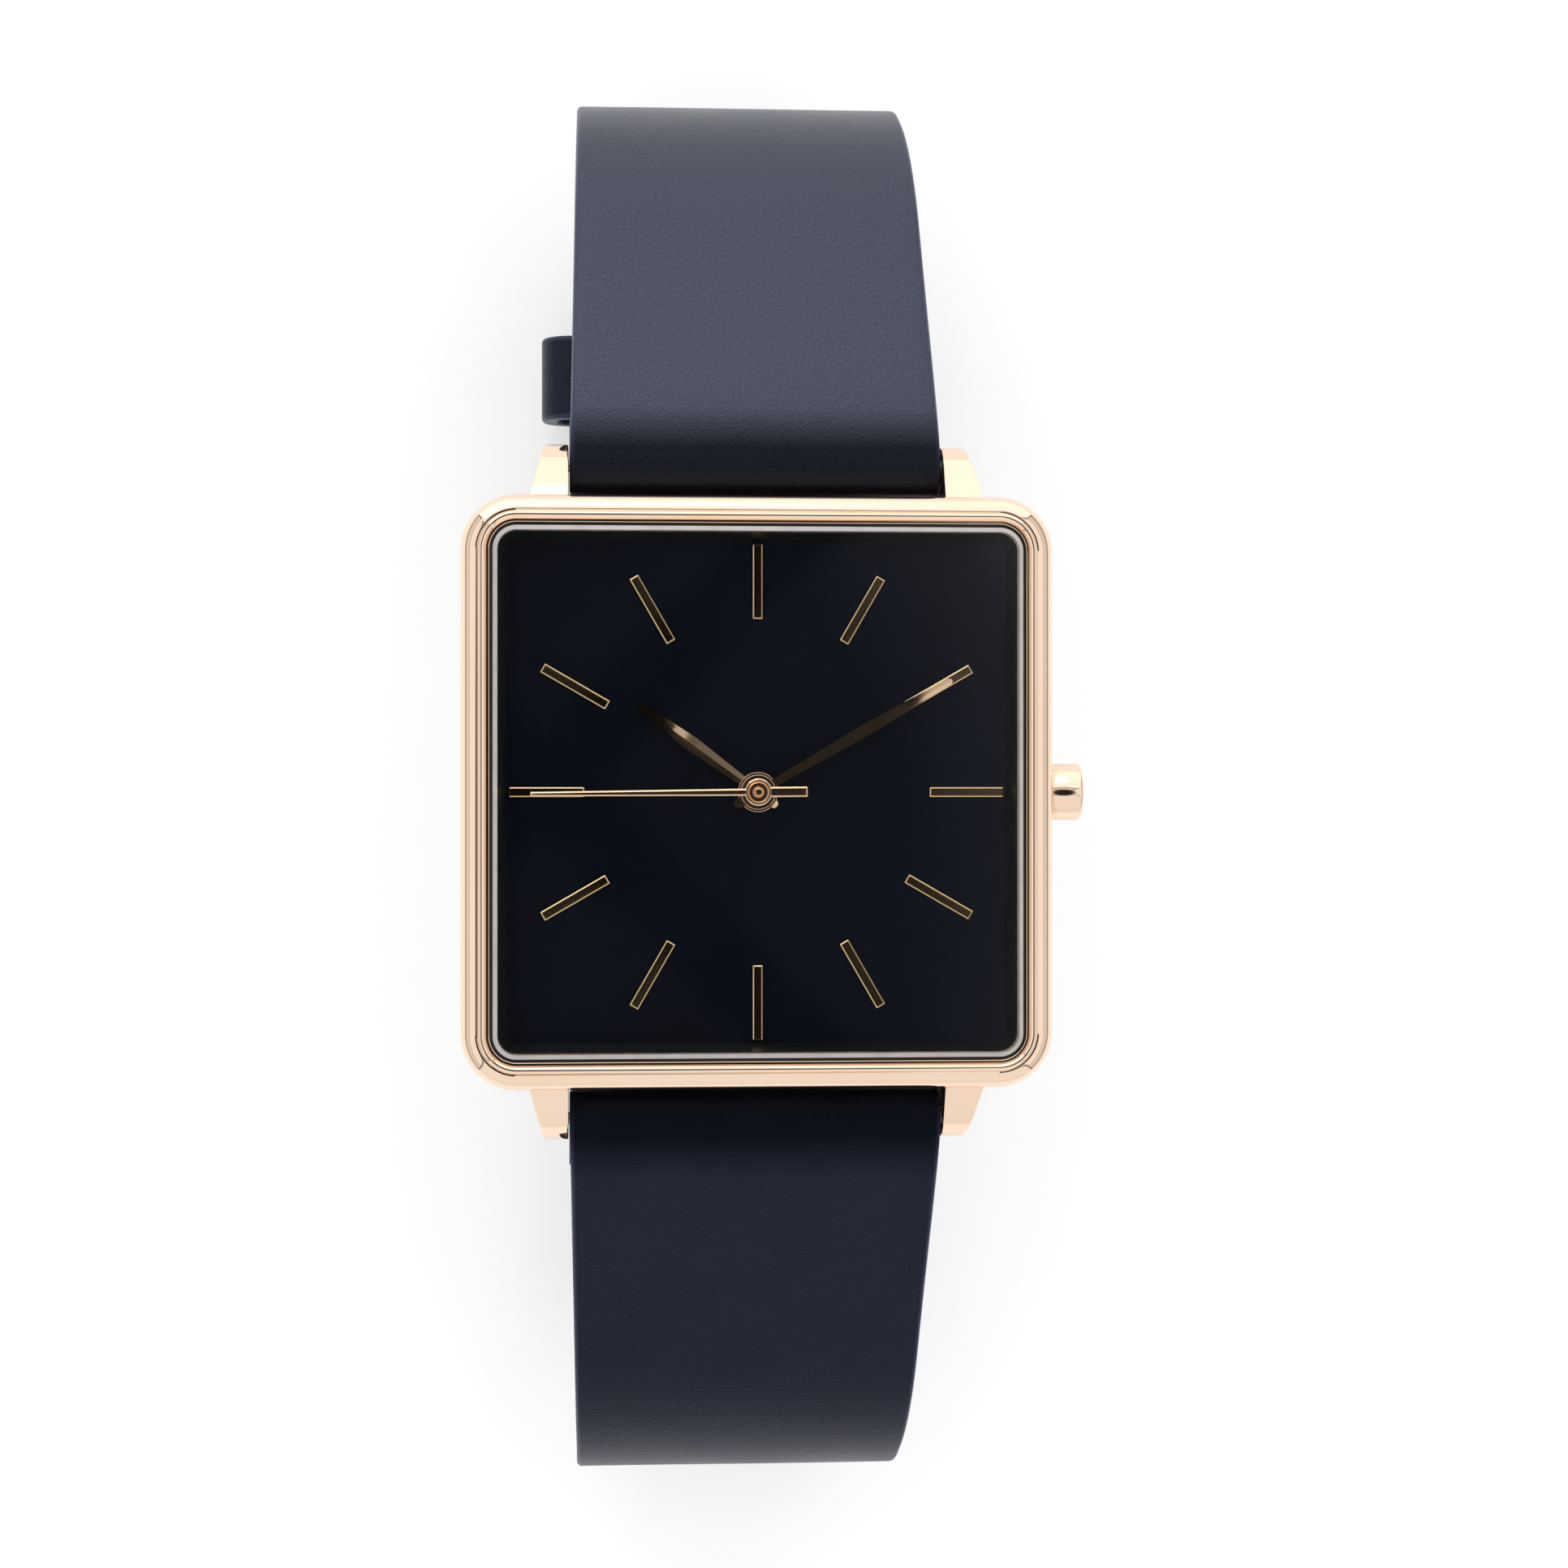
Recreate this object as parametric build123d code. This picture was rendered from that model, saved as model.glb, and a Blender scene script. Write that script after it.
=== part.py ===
from build123d import *
import os
from math import acos, atan2, cos, degrees, hypot, pi, radians, sin

# Square quartz wristwatch on an unfastened leather strap, lying dial up on the loop of its strap.
# The origin is on the axis of the hands, in the outer face of the case back.
# +X runs to the crown at 3 o'clock, +Y to 12 o'clock and +Z out through the glass. Lengths are millimetres.

# Shared by every cut that runs past a face
overrun = 0.5

# Case middle
case_side = 35.0
case_corner = 3.3
case_bottom = 0.4
case_top = 6.45
case_edge_round = 1.0
case_foot_round = 0.3
shoulder_width = 1.05

# Lugs
strap_width = 22.0
strap_side_play = 0.15
lug_root_width = 2.35
lug_tip_width = 1.45
lug_reach = 3.3
lug_inset = 1.6
lug_root_top = 5.3
lug_tip_top = 2.7
lug_shoulder = 4.3
lug_tip_bottom = 0.55
lug_tip_round = 1.0

# Bezel ring, glass and its gasket
bezel_width = 0.5
bezel_seat = 5.95
bezel_top = 6.75
bezel_edge = 0.12
glass_gasket_width = 0.18
glass_gasket_height = 0.7
glass_bottom = 5.75
glass_top = 7.0
glass_bevel = 0.35
glass_ledge = 0.35

# Case back and its gasket
back_thickness = 0.8
back_play = 0.05
back_recess_wall = 1.55
back_edge = 0.25
back_rim_width = 0.6
back_rim_top = 2.2
back_gasket_width = 0.4
back_gasket_height = 0.4

# Dial, its feet and the bar markers
cavity_wall = 1.85
dial_bottom = 4.0
dial_thickness = 0.4
dial_play = 0.05
dial_hole_radius = 0.85
dial_foot_radius = 0.35
dial_foot_length = 0.7
dial_foot_side_inset = 1.25
dial_foot_end_inset = 1.4
marker_count = 12
marker_rim_gap = 0.77
marker_length = 4.4
marker_width = 0.57
marker_height = 0.3
marker_bevel = 0.07

# Hands: turns are clockwise from 12 o'clock, as a dial is read
hour_turn = 306.0
minute_turn = 60.0
second_turn = 269.5
hour_rim_gap = 6.62
hour_width = 0.9
hour_hub_radius = 1.2
hour_tail = 1.75
hour_bottom = 4.78
minute_rim_gap = 2.12
minute_width = 0.74
minute_hub_radius = 1.05
minute_tail = 1.6
minute_bottom = 5.06
second_rim_gap = 2.02
second_width = 0.42
second_tail = 2.9
second_tail_width = 0.6
second_hub_radius = 0.81
second_bottom = 5.34
hand_thickness = 0.2
second_thickness = 0.14
hand_flank = 0.06
second_boss_radius = 0.26
second_boss_height = 0.16
root_width_share = 0.62
tip_width_share = 0.55
widest_share = 0.55

# Arbors that run one inside the other on the axis of the hands
second_arbor_radius = 0.125
centre_bore_radius = 0.16
centre_tube_radius = 0.3
cannon_bore_radius = 0.32
cannon_radius = 0.45
hour_bore_radius = 0.48
hour_pipe_radius = 0.75
centre_tube_top = 4.4

# Movement plate and its pockets
movement_width = 15.3
movement_height = 18.0
movement_corner = 1.2
plate_back = 1.0
plate_floor = 2.7
plate_wall = 0.6
motion_floor = 3.35
motion_play = 0.3
pillar_radius = 0.5
left_pillar_places = ((-4.4, 4.55), (-4.4, -0.6))
right_pillar_x = 3.6
board_pillar_gap = 0.55
bridge_thickness = 0.3
bridge_width = 9.6
bridge_height = 8.2
bridge_x = -0.3
bridge_y = 1.25
bridge_corner = 0.8

# Holder that centres the movement in the case
holder_play = 0.1
holder_step = 2.4
holder_rim_play = 0.1

# Train: teeth, modules and levels
pinion_teeth = 8
fifth_teeth = 48
fourth_teeth = 40
third_teeth = 60
centre_teeth = 64
cannon_teeth = 12
minute_wheel_teeth = 36
minute_pinion_teeth = 10
hour_teeth = 40
setting_teeth = 20
rotor_module = 0.07
fifth_module = 0.08
fourth_module = 0.072
third_module = 0.068
cannon_module = 0.1
hour_module = 0.096
wheel_thickness = 0.12
arbor_radius = 0.1
pivot_play = 0.02
fifth_direction = 45.0
rotor_direction = 60.0
third_direction = 135.0
minute_wheel_direction = -30.0
setting_direction = 25.4
fifth_wheel_level = 1.4
fifth_pinion_top = 1.82
fourth_wheel_level = 1.64
fourth_pinion_top = 2.12
third_wheel_level = 1.9
third_pinion_top = 2.54
centre_wheel_level = 2.32
rotor_pinion_bottom = 1.36
magnet_radius = 0.75
magnet_bottom = 1.62
magnet_top = 2.1
cannon_level = 3.42
cannon_pinion_top = 3.64
minute_wheel_thickness = 0.14
hour_wheel_level = 3.69
hour_wheel_thickness = 0.13
minute_pinion_top = 3.86
washer_thickness = 0.08
washer_width = 0.35
tip_share = 0.8
root_share = 1.1
tooth_tip_share = 0.11
tooth_root_share = 0.28

# Stator and coil
stator_bottom = 1.64
stator_thickness = 0.28
stator_hole_play = 0.2
stator_body_width = 4.2
stator_body_height = 2.0
stator_right_arm = 1.3
stator_left_arm = 1.3
stator_link = 0.8
coil_link_gap = 1.7
coil_end_inset = 1.55
coil_right_inset = 0.75
coil_left_inset = 1.05
core_width = 1.1
core_thickness = 0.3
winding_width = 1.85
winding_height = 1.2
winding_end_gap = 0.7
winding_round = 0.4
coil_screw_inset = 0.65

# Circuit
board_width = 6.0
board_height = 5.6
board_side_inset = 3.7
board_end_inset = 3.55
board_thickness = 0.2
chip_side = 2.4
chip_thickness = 0.5
chip_x = 3.2
chip_offset = 1.05
quartz_radius = 0.7
quartz_length = 5.4
quartz_end_inset = 1.8

# Battery
battery_radius = 3.4
battery_thickness = 1.65
battery_step = 0.35
battery_step_height = 0.4
battery_inset = 4.1
battery_play = 0.15
clamp_width = 1.6
clamp_thickness = 0.12

# Movement screws
screw_head_radius = 0.42
screw_head_height = 0.14
screw_radius = 0.22
screw_length = 0.8

# Crown, stem and keyless work
stem_level = 2.5
crown_radius = 1.72
crown_length = 2.03
crown_gap = 0.12
crown_round = 0.22
crown_pull = 1.0
crown_recess_radius = 1.02
crown_recess_depth = 1.13
crown_gasket_length = 0.3
stem_seat_depth = 0.4
stem_radius = 0.45
stem_groove_radius = 0.3
stem_groove_width = 0.32
stem_groove_x = 6.1
stem_step_x = 5.85
pilot_radius = 0.32
pilot_end_x = 3.7
crown_tube_radius = 0.9
crown_tube_bore = 0.55
crown_tube_reach = 0.75
channel_radius = 0.75
sliding_pinion_radius = 0.62
sliding_pinion_length = 1.1
sliding_pinion_x = 4.7
sliding_pinion_play = 0.02
clutch_teeth = 14
setting_level = 3.42
setting_thickness = 0.16
lever_pivot_y = 2.2
lever_thickness = 0.18
lever_level = 2.41
lever_boss_radius = 0.42
lever_pin_radius = 0.2
lever_arm_width = 0.4
lever_finger_width = 0.22
lever_finger_length = 0.4
lever_finger_y = 0.48
lever_notch_depth = 0.3
lever_notch_length = 1.3

# Spring bars
bar_offset = 2.0
bar_level = 2.0
bar_radius = 0.75
bar_length = 20.6
bar_bore = 0.58
pin_body_radius = 0.54
pin_body_length = 2.6
pin_tip_radius = 0.36
pin_tip_depth = 0.75
pin_shoulder_gap = 0.1
pin_travel = 0.8
pin_hole_play = 0.04
bar_spring_radius = 0.42
bar_spring_bore = 0.22

# Strap leather: both halves are bent to the loop that the watch lies on
leather_thickness = 1.45
lining_thickness = 0.95
roll_radius = 1.65
roll_play = 0.1
lining_start = 3.2
buckle_half_reach = 44.0
tail_half_reach = 43.5
bend_radius = 13.2
buckle_bend_radius = 12.6
loop_bottom = -27.2
bend_width = 21.0
strap_end_width = 20.0
buckle_bar_y = 12.0
strap_end_gap = 1.5
tip_length = 7.0
tip_flat = 5.0
hole_count = 6
hole_pitch = 6.0
hole_radius = 0.9
first_hole = 18.0

# Keepers
keeper_wall = 1.15
keeper_room = 0.35
keeper_side_room = 1.1
keeper_round = 1.0
free_keeper_length = 5.6
free_keeper_y = 27.9
free_keeper_shift = -0.5
fixed_keeper_length = 4.6
fixed_keeper_offset = 5.6
stitch_tab_width = 8.0

# Buckle
frame_side_gap = 0.3
frame_arm_width = 1.9
frame_arm_height = 2.3
frame_cross_radius = 1.1
frame_reach = 7.6
frame_back_reach = 1.35
frame_round = 0.5
buckle_bar_radius = 0.75
buckle_pin_radius = 0.45
tongue_width = 1.9
tongue_slot_play = 0.35
tongue_ring_radius = 1.5
tongue_play = 0.05
tongue_thickness = 1.0
tongue_overhang = 0.5


# Sizes that follow from the driving ones
half_case = case_side / 2
bezel_outer = case_side - 2 * shoulder_width
bezel_inner = bezel_outer - 2 * bezel_width
glass_side = bezel_inner - 2 * glass_gasket_width
window_side = glass_side - 2 * glass_ledge
cavity_side = case_side - 2 * cavity_wall
back_recess_side = case_side - 2 * back_recess_wall
back_side = back_recess_side - 2 * back_play
back_rim_outer = cavity_side - 2 * back_gasket_width
back_rim_inner = back_rim_outer - 2 * back_rim_width
dial_side = cavity_side - 2 * dial_play
dial_top = dial_bottom + dial_thickness
lug_inner = strap_width / 2 + strap_side_play
marker_inner_radius = window_side / 2 - marker_rim_gap - marker_length
hour_length = window_side / 2 - hour_rim_gap
minute_length = window_side / 2 - minute_rim_gap
second_length = window_side / 2 - second_rim_gap
half_movement_width = movement_width / 2
half_movement_height = movement_height / 2
dial_foot_x = half_movement_width - dial_foot_side_inset
dial_foot_y = half_movement_height - dial_foot_end_inset
coil_y = half_movement_height - coil_end_inset
stator_link_y = coil_y - coil_link_gap
coil_right = half_movement_width - coil_right_inset
coil_left = coil_left_inset - half_movement_width
board_x = half_movement_width - board_side_inset
board_y = board_end_inset - half_movement_height
chip_y = board_y + chip_offset
right_pillar_y = board_y + board_height / 2 + board_pillar_gap + pillar_radius
pillar_places = (left_pillar_places[0], (right_pillar_x, right_pillar_y), left_pillar_places[1])
quartz_y = quartz_end_inset - half_movement_height
battery_x = battery_inset - half_movement_width
battery_y = battery_inset - half_movement_height
bar_y = half_case + bar_offset
strap_thickness = leather_thickness + lining_thickness
buckle_half_bottom = loop_bottom + keeper_wall + keeper_room
frame_front_y = buckle_bar_y - frame_reach - frame_cross_radius
tail_tip_y = frame_front_y - strap_end_gap
frame_inner = strap_end_width / 2 + frame_side_gap
strap_mid_level = buckle_half_bottom + strap_thickness / 2


# Corner radius of a square that lies inside the case outline, parallel to it
def inner_corner(side):
    return case_corner - (case_side - side) / 2


def rounded(side):
    return RectangleRounded(side, side, inner_corner(side))


def slab(face, low, high):
    return extrude(Pos(0, 0, low) * face, high - low, dir=(0, 0, 1))


def ring(outer, inner, low, high):
    return slab(rounded(outer) - rounded(inner), low, high)


def disc(radius, low, high, x=0, y=0):
    return slab(Pos(x, y) * Circle(radius), low, high)


def tube(radius, bore, low, high, x=0, y=0):
    return slab(Pos(x, y) * (Circle(radius) - Circle(bore)), low, high)


def block(x_low, x_high, y_low, y_high, z_low, z_high):
    face = Rectangle(x_high - x_low, y_high - y_low)
    return slab(Pos((x_low + x_high) / 2, (y_low + y_high) / 2) * face, z_low, z_high)


# A round bar or a tube along X
def bar_x(radius, x_low, x_high, y, z, bore=0):
    face = Circle(radius) - Circle(bore) if bore else Circle(radius)
    return Pos(x_low, y, z) * extrude(Plane.YZ * face, x_high - x_low)


# Where a point lies, turned clockwise from 12 o'clock as a dial is read
def dial_point(radius, turn):
    return radius * sin(radians(turn)), radius * cos(radians(turn))


def away(place, distance, direction):
    return (
        place[0] + distance * cos(radians(direction)),
        place[1] + distance * sin(radians(direction)),
    )


# A wheel or pinion: tapered teeth on the pitch circle, one tooth centred at the phase angle
def gear_face(teeth, module, phase):
    pitch_radius = module * teeth / 2
    tip = pitch_radius + tip_share * module
    root = pitch_radius - root_share * module
    pitch = 360 / teeth
    points = []
    for tooth in range(teeth):
        middle = phase + tooth * pitch
        for radius, share in (
            (root, -tooth_root_share),
            (tip, -tooth_tip_share),
            (tip, tooth_tip_share),
            (root, tooth_root_share),
        ):
            turn = radians(middle + share * pitch)
            points.append((radius * cos(turn), radius * sin(turn)))
    return Polygon(*points, align=None)


def gear(teeth, module, low, high, place, phase):
    return slab(Pos(*place) * gear_face(teeth, module, phase), low, high)


# The phase at which a gear is in mesh with its driver, which lies against the given direction
def mesh_phase(driver_phase, driver_teeth, teeth, direction):
    return direction + 180 - (driver_phase - direction) * driver_teeth / teeth + 180 / teeth


parts = {}

# Case middle: a pocketed block with a rounded shoulder, and four lugs that grow out of it
case = slab(rounded(case_side), case_bottom, case_top)
case = fillet(case.faces().sort_by(Axis.Z)[-1].edges(), case_edge_round)
case = fillet(case.faces().sort_by(Axis.Z)[0].edges(), case_foot_round)
lug_tip_y = half_case + lug_reach
lug_plan = Polygon(
    (lug_inner, half_case - lug_inset),
    (lug_inner + lug_root_width, half_case - lug_inset),
    (lug_inner + lug_root_width, half_case),
    (lug_inner + lug_tip_width, lug_tip_y),
    (lug_inner, lug_tip_y),
    align=None,
)
lug_side = Polygon(
    (half_case - lug_inset, case_bottom),
    (half_case, case_bottom),
    (lug_tip_y, lug_tip_bottom),
    (lug_tip_y, lug_tip_top),
    (half_case + bar_offset, lug_shoulder),
    (half_case, lug_root_top),
    (half_case - lug_inset, lug_root_top),
    align=None,
)
lug_side = fillet(lug_side.vertices().sort_by(Axis.X)[-2:], lug_tip_round)
lug = slab(lug_plan, case_bottom, case_top) & extrude(Plane.YZ * lug_side, lug_inner + lug_root_width)
for corner in (lug, mirror(lug, Plane.YZ)):
    case += corner
    case += mirror(corner, Plane.XZ)
case -= slab(rounded(cavity_side), case_bottom - overrun, dial_top)
case -= slab(rounded(back_recess_side), case_bottom - overrun, back_thickness)
case -= slab(rounded(window_side), dial_top - overrun, case_top + overrun)
case -= slab(rounded(bezel_inner), glass_bottom, case_top + overrun)
case -= slab(rounded(bezel_outer), bezel_seat, case_top + overrun)
case -= bar_x(crown_tube_radius, cavity_side / 2 - overrun, half_case + overrun, 0, stem_level)
pin_hole_radius = pin_tip_radius + pin_hole_play
pin_hole_end = lug_inner + pin_tip_depth + pin_hole_play
for side in (-1, 1):
    case -= bar_x(pin_hole_radius, -pin_hole_end, pin_hole_end, side * bar_y, bar_level)
parts["case_middle"] = case

# Bezel ring round the glass
bezel = ring(bezel_outer, bezel_inner, bezel_seat, bezel_top)
parts["bezel"] = chamfer(bezel.faces().sort_by(Axis.Z)[-1].edges(), bezel_edge)

# Flat glass with a ground bevel, on the ledge of the case, in its gasket
glass = slab(rounded(glass_side), glass_bottom, glass_top)
parts["crystal"] = chamfer(glass.faces().sort_by(Axis.Z)[-1].edges(), glass_bevel)
parts["crystal_gasket"] = ring(bezel_inner, glass_side, glass_bottom, glass_bottom + glass_gasket_height)

# Snap case back with its rim and gasket
back = slab(rounded(back_side), 0, back_thickness)
back = chamfer(back.faces().sort_by(Axis.Z)[0].edges(), back_edge)
back += ring(back_rim_outer, back_rim_inner, back_thickness, back_rim_top)
stem_channel = bar_x(channel_radius, movement_width / 2 - overrun, cavity_side / 2, 0, stem_level)
parts["case_back"] = back - stem_channel
parts["case_back_gasket"] = ring(
    cavity_side, back_rim_outer, back_thickness, back_thickness + back_gasket_height
)

# Crown tube, pressed into the case wall
parts["crown_tube"] = bar_x(
    crown_tube_radius, cavity_side / 2, half_case + crown_tube_reach, 0, stem_level, crown_tube_bore
)

# Dial with two feet
dial = slab(rounded(dial_side), dial_bottom, dial_top) - disc(
    dial_hole_radius, dial_bottom - overrun, dial_top + overrun
)
foot_places = ((dial_foot_x, dial_foot_y), (-dial_foot_x, -dial_foot_y))
for x, y in foot_places:
    dial += disc(dial_foot_radius, dial_bottom - dial_foot_length, dial_bottom, x, y)
parts["dial"] = dial

# Twelve applied bars with bevelled tops
markers = []
for hour in range(marker_count):
    bar = slab(Rectangle(marker_width, marker_length), dial_top, dial_top + marker_height)
    bar = chamfer(bar.faces().sort_by(Axis.Z)[-1].edges(), marker_bevel)
    bar = Pos(0, marker_inner_radius + marker_length / 2) * bar
    markers.append(Rot(0, 0, -360 / marker_count * hour) * bar)
parts["hour_markers"] = Compound(markers)


# A hand that points to 12: a tapered outline under a roof whose ridge runs along it
def hand(length, width, tail, tail_width, hub_radius, low, thickness, bore):
    root = width * root_width_share / 2
    tip = width * tip_width_share / 2
    outline = Polygon(
        (root, 0),
        (width / 2, length * widest_share),
        (tip, length - tip),
        (-tip, length - tip),
        (-width / 2, length * widest_share),
        (-root, 0),
        align=None,
    )
    outline += Pos(0, length - tip) * Circle(tip)
    outline += Pos(0, -tail / 2) * RectangleRounded(tail_width, tail, tail_width * tip_width_share / 2)
    widest = max(width, tail_width)
    roof = Polygon(
        (-widest / 2, low),
        (widest / 2, low),
        (widest / 2, low + hand_flank),
        (0, low + thickness),
        (-widest / 2, low + hand_flank),
        align=None,
    )
    roof = Pos(0, -tail, 0) * extrude(Plane.XZ * roof, -(length + tail))
    blade = slab(outline, low, low + thickness) & roof
    blade += disc(hub_radius, low, low + thickness)
    return blade - disc(bore, low - overrun, low + thickness + overrun)


# Places of the train, each from the wheel before it by the distance at which they mesh
centre = (0, 0)
fifth_place = away(centre, fifth_module * (pinion_teeth + fourth_teeth) / 2, fifth_direction)
rotor_place = away(fifth_place, rotor_module * (pinion_teeth + fifth_teeth) / 2, rotor_direction)
third_distance = fourth_module * (pinion_teeth + third_teeth) / 2
third_place = away(centre, third_distance, third_direction)
minute_wheel_distance = cannon_module * (cannon_teeth + minute_wheel_teeth) / 2
minute_wheel_place = away(centre, minute_wheel_distance, minute_wheel_direction)
setting_distance = cannon_module * (minute_wheel_teeth + setting_teeth) / 2
setting_place = away(minute_wheel_place, setting_distance, setting_direction)
bridge_top = plate_back + bridge_thickness
coil_screw_places = (
    (coil_left + coil_screw_inset, coil_y),
    (coil_right - coil_screw_inset, coil_y),
)
core_bottom = stator_bottom + stator_thickness
core_top = core_bottom + core_thickness

# Main plate: a block with a pocket for the train and one for the motion work
pocket = RectangleRounded(
    movement_width - 2 * plate_wall, movement_height - 2 * plate_wall, movement_corner - plate_wall
)
plate = slab(RectangleRounded(movement_width, movement_height, movement_corner), plate_back, dial_bottom)
plate -= slab(pocket, plate_back - overrun, plate_floor)
for x, y in pillar_places:
    plate += disc(pillar_radius, bridge_top, plate_floor, x, y)
for x, y in coil_screw_places:
    plate += disc(pillar_radius, core_top, plate_floor, x, y)
motion_pockets = (
    (centre, hour_module * hour_teeth / 2),
    (minute_wheel_place, cannon_module * minute_wheel_teeth / 2),
    (setting_place, cannon_module * setting_teeth / 2),
)
for place, radius in motion_pockets:
    plate -= disc(radius + motion_play, motion_floor, dial_bottom + overrun, *place)
plate -= disc(centre_tube_radius + pivot_play, plate_floor - overrun, motion_floor + overrun)
for place in (fifth_place, rotor_place, third_place):
    plate -= disc(arbor_radius + pivot_play, plate_floor - overrun, plate_floor + bridge_thickness, *place)
for x, y in foot_places:
    plate -= disc(dial_foot_radius, dial_bottom - dial_foot_length, dial_bottom + overrun, x, y)
for x, y in pillar_places:
    plate -= disc(screw_radius, bridge_top - overrun, plate_back + screw_length, x, y)
for x, y in coil_screw_places:
    plate -= disc(screw_radius, core_top - overrun, stator_bottom + screw_length, x, y)
plate -= bar_x(channel_radius, pilot_end_x - motion_play, movement_width / 2 + overrun, 0, stem_level)
lever_notch_x = half_movement_width - plate_wall + (lever_notch_depth - overrun) / 2
lever_notch_y = lever_finger_y + lever_notch_length / 2
lever_notch = Pos(lever_notch_x, lever_notch_y) * Rectangle(lever_notch_depth + overrun, lever_notch_length)
plate -= slab(lever_notch, plate_back - overrun, plate_floor)
lever_pivot_x = stem_groove_x + crown_pull / 2
plate += disc(lever_pin_radius, lever_level, plate_floor, lever_pivot_x, lever_pivot_y)
for place in (minute_wheel_place, setting_place):
    plate += disc(arbor_radius, motion_floor, cannon_level + setting_thickness, *place)
parts["main_plate"] = plate

# Train bridge on its pillars
bridge = slab(
    Pos(bridge_x, bridge_y) * RectangleRounded(bridge_width, bridge_height, bridge_corner),
    plate_back,
    bridge_top,
)
bridge -= disc(
    battery_radius + battery_play, plate_back - overrun, bridge_top + overrun, battery_x, battery_y
)
bridge -= disc(second_arbor_radius + pivot_play, plate_back - overrun, bridge_top + overrun)
for place in (fifth_place, rotor_place, third_place):
    bridge -= disc(arbor_radius + pivot_play, plate_back - overrun, bridge_top + overrun, *place)
for x, y in pillar_places:
    bridge -= disc(screw_radius, plate_back - overrun, bridge_top + overrun, x, y)
parts["train_bridge"] = bridge

# Holder: a plastic frame that fills the case round the movement
holder = slab(rounded(dial_side), holder_step, dial_bottom)
holder += slab(rounded(back_rim_inner - 2 * holder_rim_play), plate_back, holder_step)
holder -= slab(
    RectangleRounded(movement_width + 2 * holder_play, movement_height + 2 * holder_play, movement_corner),
    plate_back - overrun,
    dial_bottom + overrun,
)
parts["movement_holder"] = holder - stem_channel

# Circuit board with its chip and quartz can
board_bottom = plate_floor - board_thickness
parts["circuit_board"] = slab(
    Pos(board_x, board_y) * Rectangle(board_width, board_height), board_bottom, plate_floor
)
parts["control_chip"] = slab(
    Pos(chip_x, chip_y) * Rectangle(chip_side, chip_side), board_bottom - chip_thickness, board_bottom
)
parts["quartz_can"] = bar_x(
    quartz_radius,
    board_x - quartz_length / 2,
    board_x + quartz_length / 2,
    quartz_y,
    board_bottom - quartz_radius,
)

# Coil: a flat core with its winding
core = block(
    coil_left, coil_right, coil_y - core_width / 2, coil_y + core_width / 2, core_bottom, core_top
)
for x, y in coil_screw_places:
    core -= disc(screw_radius, core_bottom - overrun, core_top + overrun, x, y)
parts["coil_core"] = core
winding_level = (core_bottom + core_top) / 2
winding_left = coil_left + 2 * coil_screw_inset + winding_end_gap
winding_right = coil_right - 2 * coil_screw_inset - winding_end_gap
winding_face = RectangleRounded(winding_width, winding_height, winding_round)
winding_face -= Rectangle(core_width, core_thickness)
parts["coil_winding"] = Pos(winding_left, coil_y, winding_level) * extrude(
    Plane.YZ * winding_face, winding_right - winding_left
)

# Stator: a flat yoke that carries the flux from the ends of the core to the rotor
rotor_x, rotor_y = rotor_place
stator_top = stator_bottom + stator_thickness
body_left = rotor_x - stator_body_width / 2
body_top = rotor_y + stator_body_height / 2
link_top = stator_link_y + stator_link / 2
stator = block(
    body_left, coil_right, rotor_y - stator_body_height / 2, body_top, stator_bottom, stator_top
)
stator += block(
    coil_right - stator_right_arm, coil_right, rotor_y, coil_y + core_width / 2, stator_bottom, stator_top
)
stator += block(
    body_left, body_left + stator_left_arm, body_top - overrun, link_top, stator_bottom, stator_top
)
stator += block(
    coil_left, body_left + stator_left_arm, link_top - stator_link, link_top, stator_bottom, stator_top
)
stator += block(
    coil_left,
    coil_left + stator_left_arm,
    link_top - stator_link,
    coil_y + core_width / 2,
    stator_bottom,
    stator_top,
)
stator -= disc(
    magnet_radius + stator_hole_play, stator_bottom - overrun, stator_top + overrun, *rotor_place
)
for x, y in coil_screw_places:
    stator -= disc(screw_radius, stator_bottom - overrun, stator_top + overrun, x, y)
parts["stator"] = stator

# Battery with its stepped can, and the clamp that holds it
battery_bottom = plate_floor - battery_thickness
battery = disc(battery_radius, battery_bottom, plate_floor - battery_step_height, battery_x, battery_y)
battery += disc(
    battery_radius - battery_step, plate_floor - battery_step_height, plate_floor, battery_x, battery_y
)
parts["battery"] = battery
clamp_end = battery_y + battery_radius - battery_step
parts["battery_clamp"] = block(
    battery_x - clamp_width / 2,
    battery_x + clamp_width / 2,
    -movement_height / 2,
    clamp_end,
    plate_back - clamp_thickness,
    plate_back,
)

# Screws of the bridge and of the coil
screws = []
for places, seat in ((pillar_places, plate_back), (coil_screw_places, stator_bottom)):
    for x, y in places:
        screw = disc(screw_head_radius, seat - screw_head_height, seat, x, y)
        screws.append(screw + disc(screw_radius, seat, seat + screw_length, x, y))
parts["movement_screws"] = Compound(screws)


# An arbor that turns in the bridge and the plate
def arbor(place):
    return disc(arbor_radius, plate_back, plate_floor + bridge_thickness, *place)


# Rotor: magnet and pinion on one arbor
rotor_phase = rotor_direction + 180
rotor = arbor(rotor_place)
rotor += disc(magnet_radius, magnet_bottom, magnet_top, *rotor_place)
rotor += gear(
    pinion_teeth, rotor_module, rotor_pinion_bottom, magnet_bottom, rotor_place, rotor_phase
)
parts["rotor"] = rotor

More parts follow.
